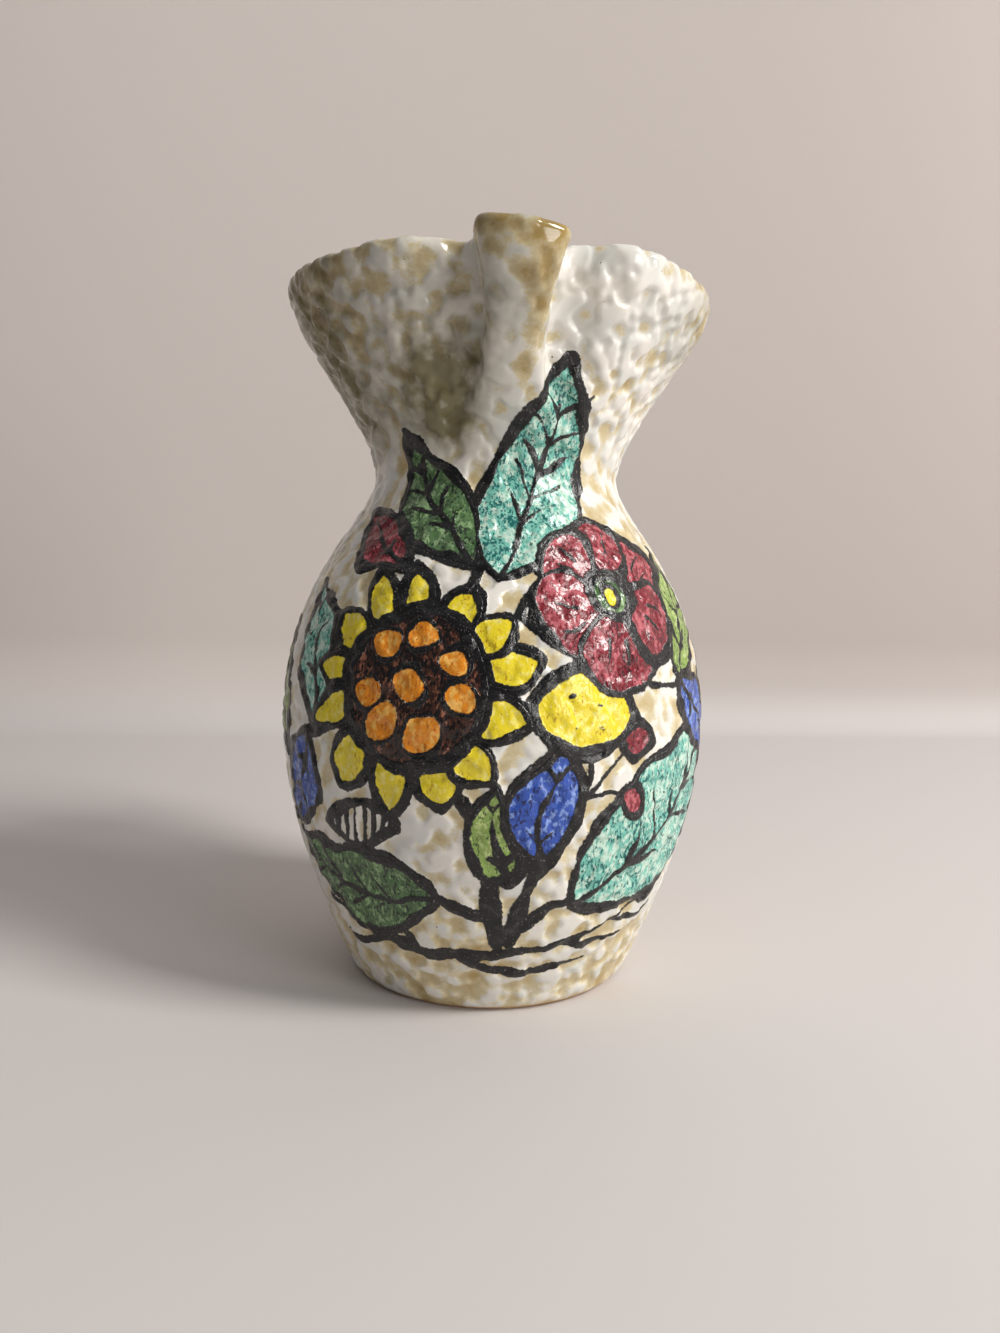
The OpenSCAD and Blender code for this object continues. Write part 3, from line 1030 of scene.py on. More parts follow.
def sunflower(disc: float, petals: int, petal_length: float, seed: int) -> tuple:
    """Marks of a flower: a ring of petals under a dark disc with orange seeds round one in the middle.

    Args:
        disc: Radius of the disc.
        petals: Number of petals.
        petal_length: Their length beyond the disc.
        seed: Seed of its small differences.

    Returns:
        The marks in the order of painting.
    """
    rng = np.random.default_rng(seed)
    marks: list = []
    for k in range(petals):
        turn = 360 * k / petals + rng.uniform(-5, 5)
        size = petal_length * rng.uniform(0.86, 1.1)
        width = 2.2 * math.pi * disc / petals
        petal = leaf(size + 0.45 * disc, width, bend=rng.uniform(-2, 2), belly=0.6, round_end=0.8)
        marks.append(Shape(turned(petal + [0.55 * disc, 0], turn), Pigment.YELLOW, 2.0))
    marks.append(Shape(oval(2 * disc, 1.9 * disc, wobble=0.04, seed=seed), Pigment.BROWN, 2.6))
    for ring, count, size in ((0.0, 1, 0.47), (0.64, 7, 0.44)):
        for k in range(count):
            angle = 2 * math.pi * (k + rng.uniform(-0.12, 0.12)) / count + 0.4
            centre = (ring * disc * math.cos(angle), 0.95 * ring * disc * math.sin(angle))
            width = size * disc * rng.uniform(0.88, 1.12)
            spot = oval(width, width * rng.uniform(0.82, 1.1), centre, 0.08, seed + k)
            marks.append(Shape(spot, Pigment.ORANGE, 0.9))
    return tuple(marks)


def anemone(petals: int, petal_length: float, eye: float, seed: int) -> tuple:
    """Marks of an open red flower: broad petals with ink pleats round a green and yellow heart.

    Args:
        petals: Number of petals.
        petal_length: Their length.
        eye: Radius of the heart.
        seed: Seed of its small differences.

    Returns:
        The marks in the order of painting.
    """
    rng = np.random.default_rng(seed)
    marks: list = []
    width = 2.75 * math.pi * 0.62 * petal_length / petals
    for k in range(petals):
        turn = 360 * (k + 0.25) / petals + rng.uniform(-5, 5)
        size = petal_length * rng.uniform(0.9, 1.08)
        petal = leaf(size, width * rng.uniform(0.92, 1.08), rng.uniform(-2, 2), belly=0.64, round_end=0.6)
        marks.append(Shape(turned(petal, turn), Pigment.RED, 1.7))
        for lean in (-11, 9):
            pleat = turned([(0.5 * size, 0), (0.66 * size, 0.5), (0.8 * size, 0)], turn + lean)
            marks.append(Stroke(pleat, (0.9, 0.8, 0.2)))
    marks.append(Shape(oval(2 * eye, 1.9 * eye, wobble=0.05, seed=seed), Pigment.GREEN, 2.2))
    marks.append(Shape(oval(0.9 * eye, 0.85 * eye, wobble=0.05, seed=seed + 1), Pigment.YELLOW, 1.2))
    return tuple(marks)


def striped_bud(length: float, width: float, stripes: int) -> tuple:
    """Marks of a bud left in white glaze, crossed by ink stripes.

    Args:
        length: From stalk to tip.
        width: Across the middle.
        stripes: Number of stripes.

    Returns:
        The marks in the order of painting.
    """
    marks: list = [Shape(leaf(length, width, 0.0, 0.5, 0.8), None, 2.0)]
    for k in range(stripes):
        at = (k + 1) / (stripes + 1)
        half = 0.5 * width * math.sin(math.pi * at) ** 0.8
        lean = 0.05 * length
        line = ((at * length - lean, -half), (at * length, 0), (at * length + lean, half))
        marks.append(Stroke(line, (1.1, 1.4, 1.1)))
    return tuple(marks)


def lemon(length: float, width: float) -> tuple:
    """Marks of a lemon: a yellow oval with a nib at one end and a few pores on it.

    Args:
        length: From nib to stalk.
        width: Across the middle.

    Returns:
        The marks in the order of painting.
    """
    body = leaf(length, width, 1.0, 0.5, 0.62)
    pores = ((0.36, 0.16), (0.5, -0.2), (0.62, 0.1), (0.7, -0.12))
    places = [(along * length, across * width) for along, across in pores]
    dots = [Stroke(((x, y), (x + 1.4, y + 0.3)), (0.6, 0.4)) for x, y in places]
    return (Shape(body, Pigment.YELLOW, 2.5), *dots)


def berries(size: float, count: int, seed: int) -> tuple:
    """Marks of red berries on a fan of short stalks.

    Args:
        size: Width of one berry.
        count: Number of berries.
        seed: Seed of their sizes.

    Returns:
        The marks in the order of painting.
    """
    rng = np.random.default_rng(seed)
    marks: list = []
    for k in range(count):
        angle = math.pi * (0.5 + 0.75 * (k + 0.5) / count - 0.375)
        reach = size * (1.7 + 0.5 * (k % 2))
        centre = (reach * math.cos(angle), reach * math.sin(angle))
        marks.append(Stroke(((0, 0), (0.5 * centre[0], 0.62 * centre[1]), centre), (1.0, 1.0, 1.0)))
        berry = oval(size, size * rng.uniform(0.85, 1.05), centre, 0.06, seed + k)
        marks.append(Shape(berry, Pigment.RED, 1.9))
    return tuple(marks)


def garden(canvas: Canvas) -> None:
    """Paints the wall: stems and ground twigs first, then leaves, fruit and flowers over them.

    Args:
        canvas: The wall's map, which takes the paint.
    """
    stems = (
        (((-2, 34), (-4, 60), (-9, 84), (-17, 104)), (3.2, 2.6, 2.2)),
        (((1, 34), (6, 66), (14, 104), (22, 136), (28, 156)), (3.0, 2.3, 2.0)),
        (((3, 40), (12, 50), (22, 54)), (2.4, 1.8)),
        (((-5, 44), (-16, 52), (-26, 55)), (2.4, 1.8)),
        (((-62, 40), (-44, 32), (-22, 28), (2, 30), (26, 34), (46, 46)), (0.8, 2.6, 3.0, 2.6, 2.0, 0.6)),
        (((-36, 30), (-46, 25), (-60, 27)), (2.2, 1.6, 0.5)),
        (((-16, 29), (-4, 21), (14, 20), (28, 22)), (2.2, 2.2, 1.6, 0.5)),
        (((16, 32), (30, 29), (46, 31)), (2.0, 1.6, 0.5)),
        (((-27, 31), (-34, 38), (-42, 41)), (1.8, 1.4, 0.5)),
        (((34, 38), (44, 37), (54, 41)), (1.6, 1.3, 0.5)),
        (((24, 142), (38, 134), (50, 130)), (1.8, 1.6)),
        (((-40, 118), (-50, 112), (-58, 112)), (2.0, 1.8)),
        (((-12, 168), (-8, 182), (-5, 196)), (2.2, 2.0)),
        (((56, 60), (64, 76), (68, 96)), (0.8, 2.0, 1.6)),
        (((-66, 62), (-72, 84), (-70, 104)), (0.8, 2.0, 1.6)),
    )
    for places, widths in stems:
        canvas.stem(places, widths)
    motifs = (
        Motif(70, 92, 74, veined_leaf(58, 26, Pigment.GREEN, -5)),
        Motif(-72, 98, 106, veined_leaf(58, 26, Pigment.SPRING, 5)),
        Motif(-56, 112, 238, veined_leaf(52, 28, Pigment.BLUE, 4)),
        Motif(-54, 116, 112, veined_leaf(62, 29, Pigment.TEAL, -5)),
        Motif(-18, 52, 170, veined_leaf(76, 38, Pigment.GREEN, 9, 0.42, 4)),
        Motif(17, 50, 43, veined_leaf(106, 56, Pigment.TEAL, -10, 0.42, 5)),
        Motif(0, 58, 96, veined_leaf(38, 18, Pigment.SPRING, 3, 0.5, 2)),
        Motif(7, 62, 80, veined_leaf(50, 25, Pigment.BLUE, 3, 0.5, 2)),
        Motif(50, 130, 70, veined_leaf(66, 32, Pigment.SPRING, -6)),
        Motif(48, 132, -36, veined_leaf(54, 27, Pigment.BLUE, 3, 0.5, 2)),
        Motif(-4, 172, 74, veined_leaf(118, 54, Pigment.TEAL, -7, 0.4, 5)),
        Motif(-10, 176, 122, veined_leaf(80, 36, Pigment.GREEN, 5, 0.42, 4)),
        Motif(-30, 174, 142, veined_leaf(48, 24, Pigment.RED, 3, 0.5, 2)),
        Motif(2, 158, 8, striped_bud(30, 17, 5)),
        Motif(17, 92, -50, berries(14.0, 3, 3)),
        Motif(-27, 82, 190, striped_bud(38, 19, 6)),
        Motif(4, 128, -12, lemon(42, 31)),
        Motif(-24, 133, 8, sunflower(30.0, 13, 18.0, 5)),
        Motif(30, 166, 12, anemone(6, 36.0, 9.5, 8)),
    )
    for motif in motifs:
        canvas.paint(motif)


# Materials


def colour(code: str) -> tuple[float, float, float, float]:
    """Linear colour of a six-figure screen colour.

    Args:
        code: Six figures to the base of sixteen.

    Returns:
        Red, green, blue and one for the cover.
    """
    parts = [int(code[k : k + 2], 16) / 255 for k in (0, 2, 4)]
    linear = [p / 12.92 if p <= 0.04045 else ((p + 0.055) / 1.055) ** 2.4 for p in parts]
    return (linear[0], linear[1], linear[2], 1.0)


class Sheet:
    """A material's node tree with short calls for the nodes that the finishes use."""

    def __init__(self, name: str) -> None:
        """Starts a material of one shader, whose coordinates are the object's own.

        Args:
            name: The material's name.
        """
        self.material = bpy.data.materials.new(name)
        self.material.use_nodes = True
        self.tree = self.material.node_tree
        self.tree.nodes.clear()
        self.shader = self.node("BsdfPrincipled")
        self.node("OutputMaterial", {0: self.shader.outputs[0]})
        self.place = self.node("TexCoord").outputs["Object"]

    def node(self, kind: str, inputs: dict | None = None, settings: dict | None = None) -> bpy.types.Node:
        """A new node with its settings made and its inputs fed.

        Args:
            kind: Kind of node, such as TexNoise.
            inputs: Outputs and constants by the input's name or number.
            settings: Settings by name.

        Returns:
            The node.
        """
        node = self.tree.nodes.new("ShaderNode" + kind)
        for name, value in (settings or {}).items():
            setattr(node, name, value)
        self.feed(node, inputs or {})
        return node

    def feed(self, node: bpy.types.Node, inputs: dict) -> None:
        """Links a node's inputs to outputs, or sets them to constants.

        Args:
            node: The node.
            inputs: Outputs and constants by the input's name or number; None leaves it as it is.
        """
        for key, value in inputs.items():
            if isinstance(value, Socket):
                self.tree.links.new(value, node.inputs[key])
            elif value is not None:
                node.inputs[key].default_value = value

    def finish(self, inputs: dict) -> bpy.types.Material:
        """The material, with its shader's inputs fed."""
        self.feed(self.shader, inputs)
        return self.material

    def noise(self, size: float, detail: float = 2.0, flat: float = 1.0, warp: float = 0.0) -> Socket:
        """Noise with features of about the given size in millimetres, from 0 to 1.

        Args:
            size: Size of the features.
            detail: Finer octaves.
            flat: Scale of the height in the coordinates.
            warp: How far it is distorted.

        Returns:
            The noise's value.
        """
        place = self.place
        if flat != 1.0:
            place = self.node("Mapping", {"Vector": place, "Scale": (1.0, 1.0, flat)}).outputs[0]
        inputs = {"Vector": place, "Scale": 1 / (size * MM), "Detail": detail, "Distortion": warp}
        return self.node("TexNoise", inputs).outputs["Fac"]

    def cells(self, size: float) -> Socket:
        """Distance to the nearest of points about a size in millimetres apart, in sizes."""
        return self.node("TexVoronoi", {"Vector": self.place, "Scale": 1 / (size * MM)}).outputs["Distance"]

    def split(self, vector: Socket) -> list[Socket]:
        """The three parts of a vector."""
        return list(self.node("SeparateXYZ", {0: vector}).outputs)

    def parts(self, name: str) -> list[Socket]:
        """The three parts of a value that the mesh carries."""
        return self.split(self.node("Attribute", settings={"attribute_name": name}).outputs["Vector"])

    def math(self, operation: str, a: object, b: object, c: object = 0.0) -> Socket:
        """One arithmetic step on two or three numbers."""
        return self.node("Math", {0: a, 1: b, 2: c}, {"operation": operation}).outputs[0]

    def swing(self, noise: object, amount: float, base: object = None) -> Socket:
        """A noise n of 0 to 1 as a swing of the amount m about the base b: n m + (b - m / 2)."""
        low = -amount / 2 if base is None else self.math("ADD", base, -amount / 2)
        return self.math("MULTIPLY_ADD", noise, amount, low)

    def ramp(self, value: object, low: float, high: float, first: float = 0.0, last: float = 1.0) -> Socket:
        """Smooth step of a value from low to high, as a number from first to last."""
        inputs = dict(enumerate((value, low, high, first, last)))
        return self.node("MapRange", inputs, {"interpolation_type": "SMOOTHSTEP"}).outputs[0]

    def blend(self, share: object, a: object, b: object, how: str = "MIX") -> Socket:
        """Colour at a share of the way from a to b, or to what b makes of a."""
        settings = {"data_type": "RGBA", "blend_type": how}
        return self.node("Mix", {"Factor": share, 6: a, 7: b}, settings).outputs[2]

    def bump(self, height: object, depth: float, normal: object = None) -> Socket:
        """Normal bent by a height from 0 to 1 that stands for a depth in millimetres."""
        return self.node("Bump", {"Distance": depth * MM, "Height": height, "Normal": normal}).outputs[0]


@dataclass(frozen=True)
class CrawledGlaze:
    """White glaze, thick on the lumps and thin and straw-coloured in the hollows, with pinholes.

    Attributes:
        thinner: Colours of ever thinner glaze, as (colour, thinness where it starts, and is full).
        wander: Size and swing of the coarser noise that is added to the thinness; fine likewise.
        pool_cloud: Size, strength and least share of the clouds in the darkened places.
        pooled_and_shade: Olive that the darkened places are multiplied by: painted shade, partly real olive
            glaze gathered in the flare's creases.
        hollow_shade: Reliefs between which the hollows are darkened as painted shade, and how far.
        pit_gap: Distance between pinholes; pit_edge is where one starts and is full, in gaps.
        peel: Size and depth of the orange peel.
        uneven: How much rougher the dull patches are; dulled is that of the paint.
    """

    white: str = "E6E1D8"
    cool: str = "D9D8D2"
    cool_size: float = 16.0
    thinner: tuple = (("DBCFAE", -0.5, 0.7), ("CDBA90", 0.1, 1.9), ("B89D60", 1.7, 3.5))
    wander: tuple = (4.6, 3.6)
    fine: tuple = (1.3, 2.2)
    # Olive of the painted shade on the flare, low on the belly and in the hollows; in the flare's creases it
    # is partly real olive glaze
    pooled_and_shade: str = "867F5E"
    pool_cloud: tuple = (8.0, 1.8, 0.1)
    hollow_shade: tuple = (0.1, -0.95, 0.16)
    pit: str = "4A3A22"
    pit_gap: float = 9.0
    pit_edge: tuple = (0.05, 0.025)
    peel: tuple = (2.4, 0.05)
    pit_depth: float = 0.25
    roughness: float = 0.12
    uneven: float = 0.09
    patch_size: float = 6.0
    dulled: float = 0.06
    refraction: float = 1.52

    def colours(self, sheet: Sheet) -> tuple[Socket, Socket]:
        """Colour of the glaze, with its painted shade, and where it has a pinhole.

        Args:
            sheet: The material's tree.

        Returns:
            The colour and the share of pinhole.
        """
        thin, relief, pooled_and_shade = sheet.parts("glaze")
        spread = sheet.math("ADD", thin, sheet.swing(sheet.noise(self.wander[0], 3.0), self.wander[1]))
        spread = sheet.swing(sheet.noise(self.fine[0]), self.fine[1], spread)
        clouds = sheet.ramp(sheet.noise(self.cool_size), 0.35, 0.65)
        body = sheet.blend(clouds, colour(self.white), colour(self.cool))
        for code, starts, full in self.thinner:
            body = sheet.blend(sheet.ramp(spread, starts, full), body, colour(code))
        # Painted shade: the flare, the bottom of the belly and the hollows are multiplied towards olive; in
        # the flare's creases it is partly real olive glaze
        size, strength, least = self.pool_cloud
        cloud = sheet.math("MULTIPLY_ADD", sheet.noise(size, 3.0), strength, least)
        # Painted shade in the hollows between the lumps
        starts, full, most = self.hollow_shade
        for share in (sheet.math("MULTIPLY", pooled_and_shade, cloud), sheet.ramp(relief, starts, full, 0.0, most)):
            body = sheet.blend(share, body, colour(self.pooled_and_shade), "MULTIPLY")
        holes = sheet.ramp(sheet.cells(self.pit_gap), *self.pit_edge)
        return sheet.blend(holes, body, colour(self.pit)), holes

    def material(self) -> bpy.types.Material:
        """The finish of the unpainted pieces."""
        sheet = Sheet("speckled_glaze")
        return self.finish(sheet, *self.colours(sheet))

    def finish(self, sheet: Sheet, body: Socket, holes: Socket, coats: tuple = ()) -> bpy.types.Material:
        """Colour, gloss and fine relief: orange peel, pinholes and the grain of the coats on the glaze.

        Args:
            sheet: The material's tree.
            body: The colour.
            holes: Share of pinhole.
            coats: Enamel and ink, as (share, size of its grain, finer octaves, depth of its grain).

        Returns:
            The material.
        """
        peel = sheet.bump(sheet.noise(self.peel[0], 1.0), self.peel[1])
        peel = sheet.bump(sheet.math("SUBTRACT", 1.0, holes), self.pit_depth, peel)
        most = self.roughness + self.uneven
        rough = sheet.ramp(sheet.noise(self.patch_size), 0.3, 0.7, self.roughness, most)
        for share, size, detail, depth in coats:
            peel = sheet.bump(sheet.math("MULTIPLY", sheet.noise(size, detail), share), depth, peel)
            rough = sheet.math("MULTIPLY_ADD", share, self.dulled, rough)
        return sheet.finish({"Base Color": body, "Roughness": rough, "Normal": peel, "IOR": self.refraction})


@dataclass(frozen=True)
class Enamel:
    """One enamel's colours: its body, its lights, its darks, and how they are laid.

    Attributes:
        body: Middle colour.
        light: Colour of the thin places.
        dark: Colour of the flecks.
        flecks: Share of the surface that the flecks take, about 0 to 1.
        lights: Share that the thin places take.
    """

    body: str
    light: str
    dark: str
    flecks: float
    lights: float


ENAMELS = {
    Pigment.TEAL: Enamel("72B8A8", "C2DCCC", "16605C", 0.4, 0.55),
    Pigment.YELLOW: Enamel("E6D12C", "F0E27A", "BE9A1E", 0.1, 0.3),
    Pigment.RED: Enamel("7A212B", "B86068", "3E0F17", 0.34, 0.42),
    Pigment.BROWN: Enamel("43261B", "8C5A45", "120C0D", 0.66, 0.34),
    Pigment.ORANGE: Enamel("E08A22", "F2B95C", "B4600F", 0.22, 0.42),
    Pigment.GREEN: Enamel("4E6F43", "8AA877", "22331F", 0.4, 0.4),
    Pigment.SPRING: Enamel("86A052", "B3C27F", "4A5E2C", 0.3, 0.4),
    Pigment.BLUE: Enamel("2E4FA6", "7F9AD6", "141F52", 0.3, 0.35),
}


@dataclass(frozen=True)
class PaintedGlaze:
    """The crawled glaze with the enamels and the ink over it.

    Attributes:
        specks: Size of the ink's pale specks, and the noise where they start and are full.
        ragged: Size and swing of the enamels' edges; ink_ragged is the ink's share of it.
        soft: Half the width of the enamels' soft edges, and ink_soft that of the ink's.
        streaks: Size, flattening and distortion of the dark streaks.
        dabs: Size and flattening of the light dabs.
        wash: Size and swing of a slow change in both.
        lit: Noise where the dabs start and are full; darkened is that of the streaks.
        share_step: How far a whole share of an enamel's flecks or lights moves those noises.
        curdle: Size, finer octaves and depth of the enamels' grain; grain is the ink's.
    """

    glaze: CrawledGlaze
    ink: str = "0B0A0C"
    ink_speck: str = "736B64"
    specks: tuple = (0.75, 0.63, 0.71)
    ragged: tuple = (1.6, 1.5)
    ink_ragged: float = 0.9
    soft: float = 0.25
    ink_soft: float = 0.22
    streaks: tuple = (0.95, 0.5, 0.4)
    dabs: tuple = (2.0, 0.7)
    wash: tuple = (9.0, 0.5)
    lit: tuple = (0.6, 0.78)
    darkened: tuple = (0.36, 0.24)
    share_step: float = 0.3
    curdle: tuple = (2.1, 2.0, 0.34)
    grain: tuple = (0.8, 3.0, 0.2)

    def material(self) -> bpy.types.Material:
        """The finish of the painted pieces.

        Returns:
            The material.
        """
        sheet = Sheet("painted_glaze")
        body, holes = self.glaze.colours(sheet)
        edge = sheet.swing(sheet.noise(self.ragged[0]), self.ragged[1])
        size, flat, warp = self.streaks
        streaks = sheet.noise(size, 3.0, flat, warp)
        dabs = sheet.noise(self.dabs[0], 3.0, self.dabs[1])
        wash = sheet.swing(sheet.noise(self.wash[0]), self.wash[1])
        distances = [part for name in PAINT_VALUES for part in sheet.parts(name)]
        covered: object = 0.0
        for pigment, enamel in ENAMELS.items():
            thin, thick = -self.share_step * enamel.lights, self.share_step * enamel.flecks
            light = sheet.ramp(sheet.math("ADD", dabs, wash), *(at + thin for at in self.lit))
            dark = sheet.ramp(sheet.math("ADD", streaks, wash), *(at + thick for at in self.darkened))
            paint = sheet.blend(light, colour(enamel.body), colour(enamel.light))
            paint = sheet.blend(dark, paint, colour(enamel.dark))
            cover = sheet.ramp(sheet.math("ADD", distances[pigment.value], edge), self.soft, -self.soft)
            body = sheet.blend(cover, body, paint)
            covered = sheet.math("MAXIMUM", covered, cover)
        rim = sheet.math("ADD", distances[Pigment.INK.value], sheet.math("MULTIPLY", edge, self.ink_ragged))
        ink = sheet.ramp(rim, self.ink_soft, -self.ink_soft)
        size, starts, full = self.specks
        specks = sheet.ramp(sheet.noise(size, 3.0), starts, full)
        body = sheet.blend(ink, body, sheet.blend(specks, colour(self.ink), colour(self.ink_speck)))
        return self.glaze.finish(sheet, body, holes, ((covered, *self.curdle), (ink, *self.grain)))


@dataclass(frozen=True)
class BareClay:
    """Unglazed earthenware with turning marks and a grain of grog.

    Attributes:
        grog: Distance between the dark grains, and where one starts and is full, in distances.
        grain: Size and depth of the surface's grain.
        rings: Scale, distortion and depth of the turning marks.
    """

    body: str = "B08A63"
    pale: str = "C9A97F"
    dark: str = "7E5B3C"
    cloud_size: float = 14.0
    grog: tuple = (2.3, 0.16, 0.08)
    grain: tuple = (0.9, 0.15)
    rings: tuple = (160.0, 1.5, 0.12)
    roughness: float = 0.85

    def material(self) -> bpy.types.Material:
        """The finish of the underside.

        Returns:
            The material.
        """
        sheet = Sheet("bare_clay")
        clouds = sheet.ramp(sheet.noise(self.cloud_size, 3.0), 0.35, 0.65)
        body = sheet.blend(clouds, colour(self.body), colour(self.pale))
        gap, starts, full = self.grog
        body = sheet.blend(sheet.ramp(sheet.cells(gap), starts, full), body, colour(self.dark))
        scale, distortion, depth = self.rings
        wave = {"Vector": sheet.place, "Scale": scale, "Distortion": distortion}
        wave = sheet.node("TexWave", wave, {"wave_type": "RINGS", "rings_direction": "Z"})
        rings = sheet.bump(wave.outputs["Fac"], depth)
        grain = sheet.bump(sheet.noise(self.grain[0], 3.0), self.grain[1], rings)
        return sheet.finish({"Base Color": body, "Roughness": self.roughness, "Normal": grain})


# The pot's wall


PAINT_VALUES = ("paint_a", "paint_b", "paint_c")


@dataclass
class GlazeCoat:
    """How the glaze lies over the skin, one value for each of its points.

    Attributes:
        lumps: Height of its lumps in millimetres.
        thin: How much thinner it lies than its relief says, on the relief's own scale.
        pooled_and_shade: How far it is darkened to olive, from 0 to about 1: painted shade on the flare and
            low on the belly, partly real olive glaze gathered in the flare's creases.
    """

    lumps: Array
    thin: Array
    pooled_and_shade: Array


@dataclass
class ThrownWall:
    """The pot's clay as one skin, from its underside over the lip to its floor, with its glaze.

    Attributes:
        sector_columns: Columns in the gutter's sector; round_columns are those in the rest.
        outside_lumps: Height of the glaze's lumps outside; inside_lumps and under_lumps likewise.
        inside_thin: How thin the glaze lies inside.
        ink_raised: How far ink stands off the glaze; enamel_raised likewise.
        rim_swings: Places where the rim rises or dips, as (azimuth, rise, width in degrees).
        wavers: Unevenness of the round, as (turns, amount, phase).
        waver_starts: Heights between which that unevenness sets in.
        gutter_starts: Height over the waist at which the gutter's sections have taken over.
        ink_edge: Distances to the ink's edge between which it rises; enamel_edge likewise.
    """

    sizes: PotSizes
    relief: GlazeRelief
    sector_columns: int = 240
    round_columns: int = 420
    outside_lumps: float = 0.42
    inside_lumps: float = 0.22
    under_lumps: float = 0.04
    inside_thin: float = -0.5
    ink_raised: float = 0.3
    enamel_raised: float = 0.1
    rim_swings: tuple = ((-25, 2.0, 13), (28, 2.2, 13), (84, -2.8, 30), (-75, 0.6, 30))
    wavers: tuple = ((2, 0.35, 0.7), (3, 0.25, 2.1))
    waver_starts: tuple = (0.0, 30.0)
    gutter_starts: float = 16.0
    ink_edge: tuple = (0.5, -0.9)
    enamel_edge: tuple = (0.6, -0.6)
    profile: Profile = field(init=False)
    azimuths: Array = field(init=False)
    skin: Skin = field(init=False)
    coat: GlazeCoat = field(init=False)
    layers: Array = field(init=False)

    def __post_init__(self) -> None:
        """Throws the wall, pulls its gutter and lays an even coat of glaze on it."""
        self.profile = Profile(self.sizes)
        sector = math.radians(self.sizes.gutter_sector)
        front = np.linspace(-sector, sector, self.sector_columns, endpoint=False)
        back = np.linspace(sector, 2 * math.pi - sector, self.round_columns, endpoint=False)
        self.azimuths = np.concatenate([front, back])
        self.skin = Skin(self.hand_made(self.thrown()))
        self.fix_poles()
        shape = self.skin.points.shape[:2]
        zones = [self.inside, self.under, self.outside]
        lumps = np.select(zones, [self.inside_lumps, self.under_lumps, self.outside_lumps])
        thin = np.where(self.inside, self.inside_thin, 0.0)
        self.coat = GlazeCoat(lumps + np.zeros(shape), thin + np.zeros(shape), np.zeros(shape))
        self.layers = np.full((len(Pigment), *shape), FAR)

    @property
    def heights(self) -> Array:
        """Height of each row, as one column."""
        return self.profile.line[:, 1:]

    @property
    def degrees(self) -> Array:
        """Azimuth of each column from -180 to 180 degrees, as one row."""
        return (np.degrees(self.azimuths)[None, :] + 180) % 360 - 180

    @property
    def under(self) -> Array:
        """Whether each row lies underneath, as one column."""
        return np.arange(len(self.profile.line))[:, None] < self.profile.spans[Zone.FOOT][0]

    @property
    def inside(self) -> Array:
        """Whether each row lies inside, as one column."""
        return np.arange(len(self.profile.line))[:, None] > self.profile.spans[Zone.LIP][1]

    @property
    def outside(self) -> Array:
        """Whether each row lies outside, between the foot and the lip, as one column."""
        return ~(self.under | self.inside)

    def thrown(self) -> Array:
        """The wall as it comes off the wheel, with the gutter pulled.

        A row is the circle (r sin a, -r cos a, z) of its profile point. In the front sector it
        passes smoothly into the gutter's section above the waist.

        Returns:
            Array of rows, columns and (x, y, z).
        """
        line = self.profile.line
        r, z = line[:, :1], line[:, 1:]
        turned_by = self.azimuths
        points = np.stack([r * np.sin(turned_by), -r * np.cos(turned_by), z + 0 * turned_by], -1)
        rows = self.profile.rows(Zone.MOUTH, Zone.LIP, Zone.MOUTH_INSIDE)
        first, last = self.profile.spans[Zone.LIP]
        across = clamp((rows - first) / (last - first))
        shares = np.arange(self.sector_columns) / self.sector_columns
        gutter = PouringGutter(self.sizes).columns(r[rows, 0], z[rows, 0], across, shares)
        waist = self.sizes.waist_h
        weight = smooth(waist, waist + self.gutter_starts, z[rows])[..., None]
        front = points[rows, : self.sector_columns]
        points[rows, : self.sector_columns] = mix(front, gutter, weight)
        return points

    def hand_made(self, points: Array) -> Array:
        """Slight unevenness of hand work.

        The rim swings up or down by a sum of bells over the azimuth, more the higher a row lies,
        and the round wavers outwards by a sum of sines.

        Args:
            points: The even wall.

        Returns:
            The uneven wall.
        """
        s = self.sizes
        high = smooth(s.waist_h, s.rim_h, points[..., 2]) ** 2
        swing = sum(bell(self.degrees, at, wide) * rise for at, rise, wide in self.rim_swings)
        waver = sum(size * np.sin(turns * self.azimuths + phase) for turns, size, phase in self.wavers)
        clear = smooth(*self.waver_starts, points[..., 2])
        moved = points.copy()
        moved[..., 2] += high * swing
        moved[..., 0] += clear * waver * np.sin(self.azimuths)
        moved[..., 1] -= clear * waver * np.cos(self.azimuths)
        return moved

    def fix_poles(self) -> None:
        """Gives the two rows at the axis upright normals, because their columns meet there."""
        self.skin.normals[0] = [0, 0, -1]
        self.skin.normals[-1] = [0, 0, 1]

    def fire(self) -> None:
        """Raises the glaze, the enamels and the ink off the clay, and keeps the finish's values.

        A point moves along its normal by the lumps' height times the relief, and by the height of
        the ink or the enamel where the distance to its edge says that it lies on it.
        """
        relief, thin = self.relief.field(self.skin.points)
        inked = smooth(*self.ink_edge, self.layers[Pigment.INK.value])
        enamelled = smooth(*self.enamel_edge, self.layers[1:].min(0)) * (1 - inked)
        self.skin.push(self.coat.lumps * relief + self.ink_raised * inked + self.enamel_raised * enamelled)
        self.skin.points[..., 2] = np.maximum(self.skin.points[..., 2], 0.0)
        self.fix_poles()
        self.skin.values["glaze"] = np.stack([thin + self.coat.thin, relief, self.coat.pooled_and_shade], -1)
        for k, name in enumerate(PAINT_VALUES):
            self.skin.values[name] = np.moveaxis(self.layers[3 * k : 3 * k + 3], 0, -1)


# The sub-assemblies


